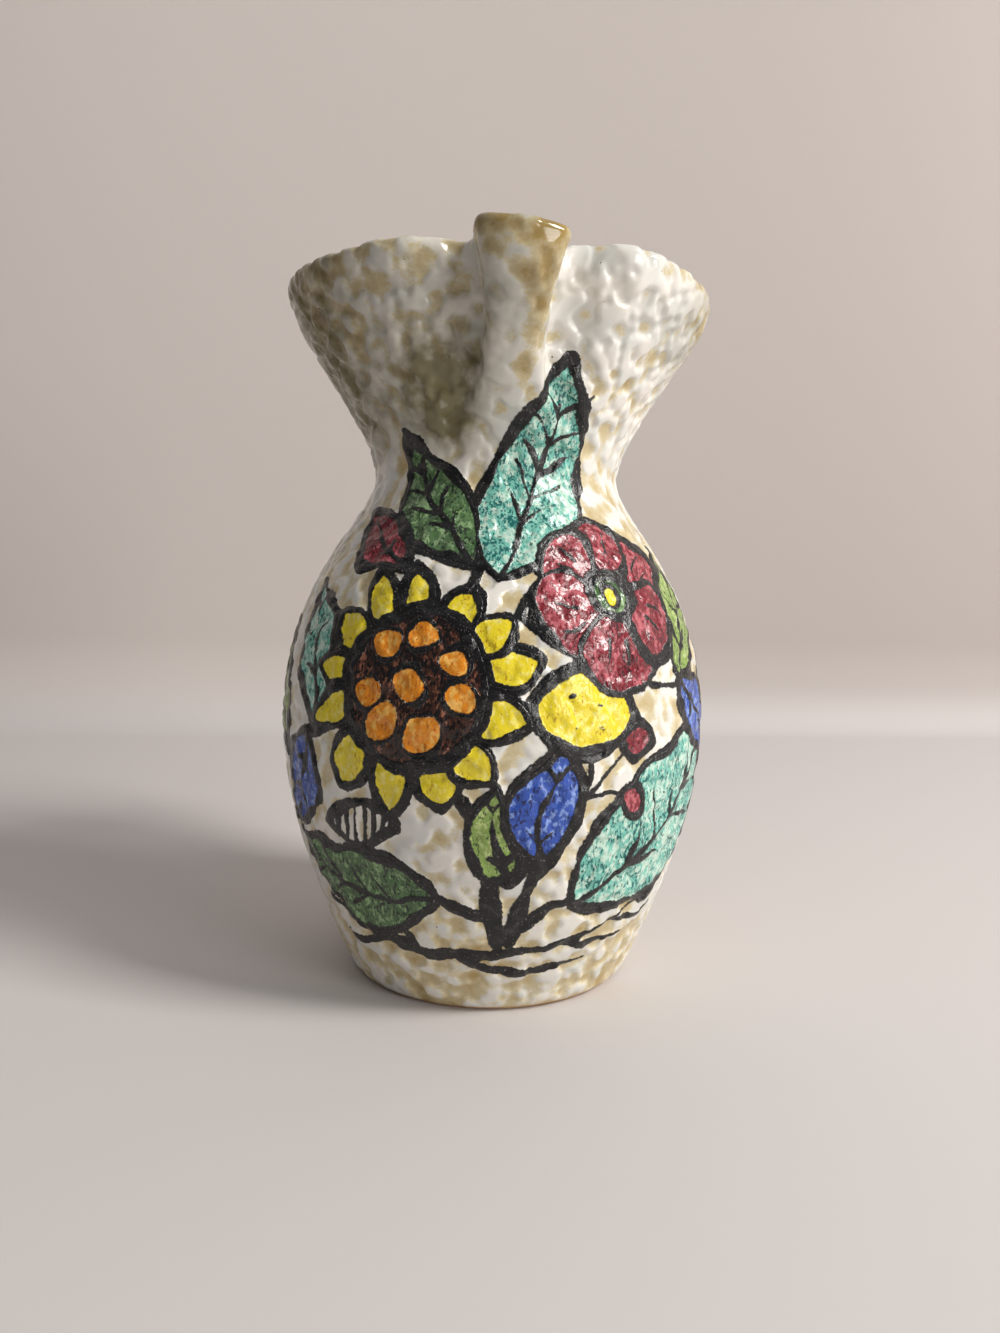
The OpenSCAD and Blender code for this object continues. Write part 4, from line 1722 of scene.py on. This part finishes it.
class SubAssembly:
    """A group of pieces cut from one skin; each kind dresses its skin and says how it is cut."""

    skin: Skin

    def dress(self) -> None:
        """Lays the group's own glaze and painting."""
        raise NotImplementedError

    def pieces(self) -> list[MeshPiece]:
        """The group's pieces, as the construction divides it."""
        raise NotImplementedError

    def build(self, finishes: dict[Finish, bpy.types.Material]) -> None:
        """Builds each piece, lets it ride on the pitcher and stand for its construction node.

        Args:
            finishes: Material of each finish.
        """
        for piece in self.pieces():
            painted = piece.finish is Finish.PAINTED_GLAZE
            materials = [finishes[Finish.PAINTED_GLAZE if painted else Finish.SPECKLED_GLAZE]]
            if piece.bare_rows:
                materials.append(finishes[Finish.BARE_CLAY])
            obj = piece.build(self.skin, materials)
            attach(obj, BODY)
            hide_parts(piece.name)
            LOG.info("%s: %d faces, %s", obj.name, len(obj.data.polygons), piece.finish.value)


@dataclass
class WallPart(SubAssembly):
    """A group of pieces that is part of the thrown wall."""

    wall: ThrownWall

    @property
    def skin(self) -> Skin:
        """The wall's skin."""
        return self.wall.skin


@dataclass
class Foot(WallPart):
    """Disc of clay under the floor and the ring that the pot stands on, bare underneath.

    Attributes:
        wiped: Heights between which the glaze passes from wiped off to full.
        bare_rise: Rows of the foot's outside that are bare like the underside.
    """

    wiped: tuple = (0.5, 6.0)
    bare_rise: int = 3

    def dress(self) -> None:
        """Wipes the glaze off towards the table, by a smooth step of the height."""
        wiped = smooth(*self.wiped, self.wall.heights)
        self.wall.coat.lumps *= np.where(self.wall.outside, wiped, 1.0)

    def pieces(self) -> list[MeshPiece]:
        """The base disc, with a pole at each end of its rows, and the foot ring.

        Returns:
            The two pieces.
        """
        profile, s = self.wall.profile, self.wall.sizes
        bare = profile.spans[Zone.FOOT][0] + self.bare_rise
        disc = np.concatenate([profile.rows(Zone.UNDER_DISC)[1:], profile.rows(Zone.FLOOR_DISC)[:-1]])
        ring = np.concatenate([profile.rows(Zone.UNDER_RING, Zone.FOOT), profile.rows(Zone.FLOOR_RING)])
        below = ((0, 0, s.foot_recess), (0, 0, -1), True)
        above = ((0, 0, s.foot_h - s.floor_dish), (0, 0, 1), True)
        return [
            MeshPiece("base_disc", Finish.BARE_CLAY, disc, None, False, below, above, bare),
            MeshPiece("foot_ring", Finish.SPECKLED_GLAZE, ring, bare_rows=bare),
        ]


@dataclass
class Body(WallPart):
    """Belly and shoulder, which carry the painting.

    Attributes:
        low: Heights between which the glaze passes from its low kind to its usual one.
        low_lumps: Share by which the lumps are higher low down.
        low_thin: How much thinner the glaze lies low down; low_painted_shade is how much darker it is made
            there, as painted shade.
        thin: How much thinner it lies all over the outside.
    """

    low: tuple = (15.0, 85.0)
    low_lumps: float = 0.4
    low_thin: float = 0.5
    low_painted_shade: float = 0.05
    thin: float = -0.1

    def dress(self) -> None:
        """Lays a livelier, thinner glaze low down, darkened there a little as painted shade, and paints the
        wall.
        """
        wall = self.wall
        low = (1 - smooth(*self.low, wall.heights)) * wall.outside
        wall.coat.lumps *= 1 + self.low_lumps * low
        wall.coat.thin += self.low_thin * low + self.thin * wall.outside
        # Painted shade: darker towards the bottom of the belly
        wall.coat.pooled_and_shade += self.low_painted_shade * low
        canvas = Canvas(wall.profile, wall.azimuths, wall.skin.points)
        garden(canvas)
        for pigment, layer in canvas.layers.items():
            wall.layers[pigment.value][canvas.rows] = layer

    def pieces(self) -> list[MeshPiece]:
        """The belly's wall and the shoulder's wall.

        Returns:
            The two pieces.
        """
        rows = self.wall.profile.rows
        belly = np.concatenate([rows(Zone.BELLY), rows(Zone.BELLY_INSIDE)])
        shoulder = np.concatenate([rows(Zone.SHOULDER), rows(Zone.SHOULDER_INSIDE)])
        return [
            MeshPiece("belly_wall", Finish.PAINTED_GLAZE, belly),
            MeshPiece("shoulder_wall", Finish.PAINTED_GLAZE, shoulder),
        ]


@dataclass
class Mouth(WallPart):
    """Flared mouth with its rounded lip, and the pouring gutter pulled out of its front.

    Attributes:
        thick: How much thicker the glaze lies on the flare.
        lip_worn: Share by which the lumps are lower near the lip; tongue_worn is that on the tongue.
        tongue: Azimuths between which the tongue ends.
        crowns: How thin the glaze lies on the lip, beside the tongue and on it.
        fold_shades: Painted shade on the flare's underside and in the crease beside the tongue, partly real
            olive glaze gathered there, as (azimuth, width in degrees, amount low down, amount at the lip).
        top_darkening: How much darker the tongue's top is made.
        straw: Thinner places near the lip, as (azimuth, width in degrees, amount).
        flare: Heights over the waist between which the flare's glaze sets in.
        lip: Heights over the rim between which the lip's wear sets in; crown is over its middle.
        high: Shares of the flare's height between which low amounts pass into those at the lip.
        shade_start: Shares between which the painted shade and the tongue's darker top set in; runs_start is
            that of the runs.
        top_run: Thinness at the tongue's top, and the shares between which it sets in.
        brown_run: Thinness, azimuth, slant, width and shares of the brown run down the tongue.
        pale_run: Thickness, azimuth, width and shares of the pale run beside it.
    """

    lumps: float = 0.85
    thick: float = 0.55
    lip_worn: float = 0.55
    tongue_worn: float = 0.5
    tongue: tuple = (10.0, 15.0)
    crowns: tuple = (0.5, 1.3)
    # Painted shade on the flare, partly real olive glaze gathered in the crease beside the tongue
    fold_shades: tuple = ((-24.0, 15.0, 1.25, 0.3), (-68.0, 24.0, 0.95, 0.95), (74.0, 20.0, 0.0, 0.5))
    top_darkening: float = 0.4
    straw: tuple = ((-50.0, 24.0, 0.85), (28.0, 13.0, -1.1), (84.0, 20.0, 1.0))
    flare: tuple = (-10.0, 25.0)
    lip: tuple = (-14.0, -3.0)
    crown: tuple = (-6.0, 1.5)
    high: tuple = (0.35, 0.8)
    shade_start: tuple = (-0.05, 0.3)
    top_run: tuple = (1.2, 0.72, 0.9)
    brown_run: tuple = (2.3, 2.0, 3.0, 3.2, 0.3, 0.42)
    pale_run: tuple = (0.9, -5.0, 4.0, 0.75, 0.9)
    runs_start: tuple = (0.15, 0.3)

    def dress(self) -> None:
        """Lays a thick, hammered glaze on the flare, worn on the lip, with painted shade on the flare that is
        partly real olive glaze gathered in its creases.
        """
        wall, s = self.wall, self.wall.sizes
        flare = smooth(*(s.waist_h + over for over in self.flare), wall.heights)
        lip = smooth(*(s.rim_h + over for over in self.lip), wall.heights)
        crown = smooth(*(s.lip_h + over for over in self.crown), wall.heights) * ~wall.inside
        tongue = self.on_tongue()
        wall.coat.lumps *= mix(1.0, self.lumps / wall.outside_lumps, flare * wall.outside)
        wall.coat.lumps *= (1 - self.lip_worn * lip) * (1 - self.tongue_worn * tongue * flare)
        wall.coat.thin += crown * mix(*self.crowns, tongue) + self.runs()
        wall.coat.thin += (self.straws() - self.thick * flare) * wall.outside
        # Painted shade on the flare's outside
        wall.coat.pooled_and_shade += self.painted_shade() * ~wall.inside

    def on_tongue(self) -> Array:
        """One where columns lie on the gutter's tongue, and zero beside it."""
        return 1 - smooth(*self.tongue, np.abs(self.wall.degrees))

    def up_the_flare(self) -> Array:
        """Height of each row as a share of the way from the waist to the rim."""
        s = self.wall.sizes
        return (self.wall.heights - s.waist_h) / (s.rim_h - s.waist_h)

    def straws(self) -> Array:
        """How thin the glaze lies in the straw-coloured places near the lip."""
        bells = sum(bell(self.wall.degrees, at, wide) * amount for at, wide, amount in self.straw)
        return bells * smooth(*self.high, self.up_the_flare())

    def painted_shade(self) -> Array:
        """How much darker the flare is made: painted shade in its creases and on its underside, partly real
        olive glaze gathered there, and a darker tongue top.

        Returns:
            Bells over the azimuth, whose amounts change up the flare, and the tongue's darker top,
            times a smooth step at the flare's foot.
        """
        share = self.up_the_flare()
        aside, high = self.wall.degrees, smooth(*self.high, share)
        fold_shades = sum(bell(aside, at, wide) * mix(low, top, high) for at, wide, low, top in self.fold_shades)
        return smooth(*self.shade_start, share) * (fold_shades + self.top_darkening * high * self.on_tongue())

    def runs(self) -> Array:
        """Where the glaze has run thin down the tongue.

        Returns:
            A straw-coloured top and a slanting brown run below it, less a thick pale run.
        """
        share, degrees = self.up_the_flare(), self.wall.degrees
        amount, low, high = self.top_run
        top = amount * smooth(low, high, share)
        amount, at, slant, wide, low, high = self.brown_run
        brown = amount * bell(degrees, at + slant * share, wide) * smooth(low, high, share)
        amount, at, wide, low, high = self.pale_run
        pale = amount * bell(degrees, at, wide) * (1 - smooth(low, high, share))
        return (top + brown - pale) * smooth(*self.runs_start, share) * self.on_tongue()

    def pieces(self) -> list[MeshPiece]:
        """The flared wall behind the gutter's sector, and the gutter in it.

        Returns:
            The two pieces.
        """
        rows = self.wall.profile.rows(Zone.MOUTH, Zone.LIP, Zone.MOUTH_INSIDE)
        sector = self.wall.sector_columns
        everywhere = sector + self.wall.round_columns
        round_columns = np.arange(sector, everywhere + 1) % everywhere
        return [
            MeshPiece("mouth_wall", Finish.PAINTED_GLAZE, rows, round_columns),
            MeshPiece("pouring_gutter", Finish.PAINTED_GLAZE, rows, np.arange(sector + 1)),
        ]


@dataclass(frozen=True)
class HandleEnd:
    """One end of the strap, with its root in the wall.

    Attributes:
        root: Length of the root.
        lead: How far the strap runs straight on before it bends.
        angle: Its turn up from the wall's outward direction, in degrees.
        seat_share: Where it sits on the curve of the mouth or of the shoulder.
        flares: Growth of the root's width and thickness into the wall.
    """

    width: float
    thickness: float
    root: float
    lead: float
    angle: float
    seat_share: float
    flares: tuple


@dataclass
class Handle(SubAssembly):
    """Pulled strap handle with its two roots, as one skin of rings along a bent middle line.

    Attributes:
        top: Upper end of the strap; base is the lower one.
        groove: Depth of the groove down its back; groove_share is its width as a share.
        edge_power: Power of the squared oval, one for an ellipse.
        bury_share: How far the roots reach into the wall, in walls.
        sides: Points of a ring; root_steps and strap_steps are rings of a root and of the strap.
        fillet: Swelling of the roots at the wall, with fillet_reach how far off it dies away.
        buried: How far under the wall's face the roots end.
        thin: How much thinner the glaze lies than its relief says.
    """

    profile: Profile
    relief: GlazeRelief
    top: HandleEnd = HandleEnd(33.0, 13.0, 12.0, 45.0, 43.0, 0.7, (0.35, 0.9))
    base: HandleEnd = HandleEnd(25.0, 11.0, 14.0, 57.0, 34.0, 0.27, (0.45, 1.3))
    groove: float = 1.2
    groove_share: float = 0.22
    edge_power: float = 0.8
    bury_share: float = 1.5
    sides: int = 112
    root_steps: int = 30
    strap_steps: int = 170
    fillet: float = 2.6
    fillet_reach: float = 3.2
    buried: float = 1.6
    lumps: float = 0.4
    thin: float = 0.1
    skin: Skin = field(init=False)

    def __post_init__(self) -> None:
        """Forms the handle and seats it in the wall."""
        self.skin = Skin(self.rings())
        self.seat_in_wall()

    def seat(self, zone: Zone, end: HandleEnd) -> tuple[Array, Array, Array, Array]:
        """Where an end of the handle joins the wall's outline.

        Args:
            zone: Stretch of the wall that it sits on.
            end: The end.

        Returns:
            A place inside the wall, the place on it, the root's outer end and the lead's, all as
            (outwards, up).
        """
        here, ahead = bezier(self.profile.curve(zone), np.array([end.seat_share, end.seat_share + 1e-4]))
        along = unit(ahead - here)
        outward = np.array([along[1], -along[0]])
        c, s = math.cos(math.radians(end.angle)), math.sin(math.radians(end.angle))
        way = np.array([outward[0] * c - outward[1] * s, outward[0] * s + outward[1] * c])
        start = here + end.root * way
        return here - self.bury_share * self.profile.sizes.wall * outward, here, start, start + end.lead * way

    def middle_line(self) -> tuple[Array, Array, Array]:
        """The line that the handle's rings stand on.

        The strap is a cubic Bezier curve that leaves its roots straight, and each root a quadratic
        one into the wall. Widths and thicknesses grow with the square of the way into a root.

        Returns:
            Middle of each ring as (outwards, up), with its width and its thickness.
        """
        top, base = self.top, self.base
        top_inside, top_seat, start, top_lead = self.seat(Zone.MOUTH, top)
        base_inside, base_seat, end, base_lead = self.seat(Zone.SHOULDER, base)
        s = np.linspace(0, 1, self.root_steps + 1)
        t = np.linspace(0, 1, self.strap_steps + 1)
        root = bezier([top_inside, top_seat, start], s)
        strap = bezier([start, top_lead, base_lead, end], t)
        line = np.concatenate([root, strap[1:], bezier([end, base_seat, base_inside], s)[1:]])
        across = []
        for k, (first, last) in enumerate(((top.width, base.width), (top.thickness, base.thickness))):
            upper = first * (1 + top.flares[k] * (1 - s) ** 2)
            lower = last * (1 + base.flares[k] * s[1:] ** 2)
            across.append(np.concatenate([upper, mix(first, last, t)[1:], lower]))
        return line, *across

    def rings(self) -> Array:
        """Squared ovals carried along the middle line.

        A ring's point at angle a is u = sign(cos a)|cos a|^p across and v = sign(sin a)|sin a|^p
        through the strap, with a bell-shaped groove taken off its back.

        Returns:
            Array of rings, sides and (x, y, z), in the order that points the faces outwards.
        """
        middle, width, thickness = self.middle_line()
        along = unit(np.gradient(middle, axis=0))
        side = np.stack([-along[:, 1], along[:, 0]], -1)
        angle = -np.linspace(0, 2 * math.pi, self.sides, endpoint=False)
        u = np.sign(np.cos(angle)) * np.abs(np.cos(angle)) ** self.edge_power
        v = np.sign(np.sin(angle)) * np.abs(np.sin(angle)) ** self.edge_power
        groove = np.where(v > 0, self.groove * np.exp(-((u / (2 * self.groove_share)) ** 2)), 0.0)
        offset = v[None, :] * thickness[:, None] / 2 - groove[None, :]
        plane = middle[:, None, :] + offset[..., None] * side[:, None, :]
        points = np.stack([u[None, :] * width[:, None] / 2, plane[..., 0], plane[..., 1]], -1)
        outwards = points - points.mean(axis=1, keepdims=True)
        return points if (Skin(points).normals * outwards).sum() > 0 else points[:, ::-1]

    def off_wall(self, points: Array) -> tuple[Array, Array]:
        """How far points stand off the wall's outside.

        Args:
            points: Places near the wall.

        Returns:
            The distance, which is that to the wall's radius at the same height times the cosine
            of its slope, and the wall's outward direction there.
        """
        line = self.profile.line[self.profile.rows(Zone.SHOULDER, Zone.MOUTH)]
        slope = unit(np.gradient(line, axis=0))
        reach = np.hypot(points[..., 0], points[..., 1])
        columns = (line[:, 0], slope[:, 1], slope[:, 0])
        radius, cosine, sine = (np.interp(points[..., 2], line[:, 1], c) for c in columns)
        radial = points[..., :2] / reach[..., None]
        outward = np.concatenate([radial * cosine[..., None], -sine[..., None]], -1)
        return (reach - radius) * cosine, outward

    def seat_in_wall(self) -> None:
        """Swells the roots where they meet the wall, and ends them just under its face.

        The swelling falls off exponentially with the distance to the wall. What would lie deeper
        than the buried depth is brought up to it.
        """
        off, _ = self.off_wall(self.skin.points)
        self.skin.push(self.fillet * np.exp(-np.maximum(off, 0) / self.fillet_reach))
        off, outward = self.off_wall(self.skin.points)
        self.skin.points = self.skin.points + outward * np.maximum(-self.buried - off, 0)[..., None]
        self.skin.update_normals()

    def dress(self) -> None:
        """Raises the glaze's lumps and keeps the finish's values."""
        relief, thin = self.relief.field(self.skin.points)
        self.skin.push(self.lumps * relief)
        self.skin.values["glaze"] = np.stack([thin + self.thin, relief, 0 * relief], -1)

    def pieces(self) -> list[MeshPiece]:
        """The strap and its roots, each closed by a hidden face where it meets the next.

        Returns:
            The three pieces.
        """
        bounds = np.cumsum([0, self.root_steps, self.strap_steps, self.root_steps])
        names = ("handle_upper_root", "handle_strap", "handle_lower_root")
        found = []
        for name, first, last in zip(names, bounds[:-1], bounds[1:]):
            poles = [(tuple(self.skin.points[k].mean(0)), (0, 0, 1), False) for k in (first, last)]
            rings = np.arange(first, last + 1)
            found.append(MeshPiece(name, Finish.SPECKLED_GLAZE, rings, None, False, *poles))
        return found


# The studio


@dataclass(frozen=True)
class Lamp:
    """An area lamp that faces a point of the pot's axis; lengths in metres, power in watts."""

    name: str
    place: tuple
    target_height: float
    size: tuple
    power: float
    tint: tuple

    def hang(self) -> None:
        """Adds the lamp to the scene."""
        data = bpy.data.lights.new(self.name, "AREA")
        data.shape = "RECTANGLE"
        data.size, data.size_y = self.size
        data.energy = self.power
        data.color = self.tint
        lamp = placed(self.name, data)
        lamp.location = self.place
        way = Vector((0, 0, self.target_height)) - Vector(self.place)
        lamp.rotation_euler = way.to_track_quat("-Z", "Y").to_euler()


LAMPS = (
    Lamp("key", (1.76, -0.94, 1.84), 0.16, (0.68, 0.92), 60.0, (1.0, 0.975, 0.94)),
    Lamp("front", (0.93, -1.00, 0.36), 0.18, (0.50, 0.45), 6.0, (1.0, 0.98, 0.95)),
    Lamp("side", (1.25, 0.02, 0.40), 0.20, (0.55, 0.55), 1.0, (1.0, 0.98, 0.95)),
    Lamp("ceiling", (-0.20, -0.10, 1.60), 0.10, (2.0, 2.0), 4.0, (0.96, 0.97, 1.0)),
)


@dataclass(frozen=True)
class Studio:
    """Camera, lamps, floor and backdrop, with lengths in metres and angles in degrees.

    Attributes:
        eye_azimuth: Where the camera stands, from the front.
        centre_px: Column of the photograph on which the pot's axis stands.
        wall_starts: Height at which the wall's colour is full.
        wall_half: How far from the middle the wall's two colours are full: lighter on the left and darker on
            the right, as painted light and shade.
        bend: Radius of the bend between floor and wall.
        back: Distance of the wall; wall_height, front and half are the sheet's other ends.
    """

    eye_height: float = 0.180
    eye_distance: float = 0.438
    eye_azimuth: float = -4.7
    pitch: float = 6.45
    roll: float = 1.05
    centre_px: float = 492.5
    image_width_px: float = 1000.0
    focal_px: float = 1000.0
    sensor: float = 36.0
    nearest: float = 0.01
    floor: str = "CFCAC8"
    # Painted light and shade: the wall is lighter on the left and darker on the right
    wall_left_painted_light: str = "D2C9C3"
    wall_right_painted_shade: str = "B2A9A4"
    wall_starts: float = 0.05
    wall_half: float = 0.5
    sheet_roughness: float = 0.7
    bend: float = 0.09
    bend_steps: int = 16
    back: float = 0.62
    wall_height: float = 3.0
    front: float = -4.0
    half: float = 4.0
    room: tuple = (0.86, 0.87, 0.90, 1)
    room_strength: float = 0.17

    def camera(self) -> None:
        """Camera at the photograph's place and angle."""
        data = bpy.data.cameras.new("camera")
        data.sensor_fit = "HORIZONTAL"
        data.sensor_width = self.sensor
        data.lens = self.sensor * self.focal_px / self.image_width_px
        data.clip_start = self.nearest
        camera = placed("camera", data)
        azimuth = math.radians(self.eye_azimuth)
        away = self.eye_distance
        place = Vector((away * math.sin(azimuth), -away * math.cos(azimuth), self.eye_height))
        aside = math.atan((self.image_width_px / 2 - self.centre_px) / self.focal_px)
        level = Matrix.Rotation(-aside, 3, "Z") @ Vector((-math.sin(azimuth), math.cos(azimuth), 0))
        up = Vector((0, 0, 1))
        right = level.cross(up)
        pitch = math.radians(self.pitch)
        ahead = level * math.cos(pitch) - up * math.sin(pitch)
        turn = Matrix((right, right.cross(ahead), -ahead)).transposed()
        turn = Matrix.Rotation(math.radians(self.roll), 3, -ahead) @ turn
        camera.matrix_world = Matrix.Translation(place) @ turn.to_4x4()
        bpy.context.scene.camera = camera

    def backdrop(self) -> None:
        """A pale floor that sweeps up into a pale wall, as one smooth sheet, with painted light and shade
        across the wall.
        """
        angle = np.linspace(0, math.pi / 2, self.bend_steps + 1)
        across = self.back - self.bend + self.bend * np.sin(angle)
        arc = np.stack([across, self.bend - self.bend * np.cos(angle)], -1)
        line = np.concatenate([[[self.front, 0.0]], arc, [[self.back, self.wall_height]]])
        points = [(x, y, z) for y, z in line for x in (-self.half, self.half)]
        faces = [(2 * k, 2 * k + 1, 2 * k + 3, 2 * k + 2) for k in range(len(line) - 1)]
        mesh = bpy.data.meshes.new("sweep")
        mesh.from_pydata(points, [], faces)
        mesh.polygons.foreach_set("use_smooth", [True] * len(faces))
        sheet = Sheet("sweep")
        x, _, z = sheet.split(sheet.place)
        share = sheet.ramp(z, 0.0, self.wall_starts)
        # Painted light and shade across the wall, from lighter at the left to darker at the right
        aside = sheet.ramp(x, -self.wall_half, self.wall_half)
        wall = sheet.blend(aside, colour(self.wall_left_painted_light), colour(self.wall_right_painted_shade))
        paper = sheet.blend(share, colour(self.floor), wall)
        mesh.materials.append(sheet.finish({"Base Color": paper, "Roughness": self.sheet_roughness}))
        placed("sweep", mesh)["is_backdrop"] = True

    def light(self) -> None:
        """Lamps, a dim room round them, and colours shown as they are."""
        for lamp in LAMPS:
            lamp.hang()
        world = bpy.data.worlds.new("room")
        world.use_nodes = True
        background = world.node_tree.nodes["Background"]
        background.inputs["Color"].default_value = self.room
        background.inputs["Strength"].default_value = self.room_strength
        bpy.context.scene.world = world
        bpy.context.scene.view_settings.view_transform = "Standard"


def write_sizes() -> None:
    """Works out the construction's box and the dressed model's box as lists of corners."""
    bpy.context.view_layer.update()
    boxes = {"cad": CAD_BOX, "visual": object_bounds()}
    plain = {name: [list(corner) for corner in box] for name, box in boxes.items()}


def main() -> None:
    """Builds the studio, the pot and its handle, and reports each piece."""
    logging.basicConfig(level=logging.INFO, format="%(name)s: %(message)s")
    studio = Studio()
    studio.camera()
    studio.backdrop()
    studio.light()
    glaze = CrawledGlaze()
    finishes = {
        Finish.SPECKLED_GLAZE: glaze.material(),
        Finish.PAINTED_GLAZE: PaintedGlaze(glaze).material(),
        Finish.BARE_CLAY: BareClay().material(),
    }
    wall = ThrownWall(PotSizes(), GlazeRelief())
    pot = [Foot(wall), Body(wall), Mouth(wall)]
    for part in pot:
        part.dress()
    wall.fire()
    handle = Handle(wall.profile, wall.relief)
    handle.dress()
    for part in (*pot, handle):
        part.build(finishes)
    write_sizes()


if __name__ == "__main__":
    main()
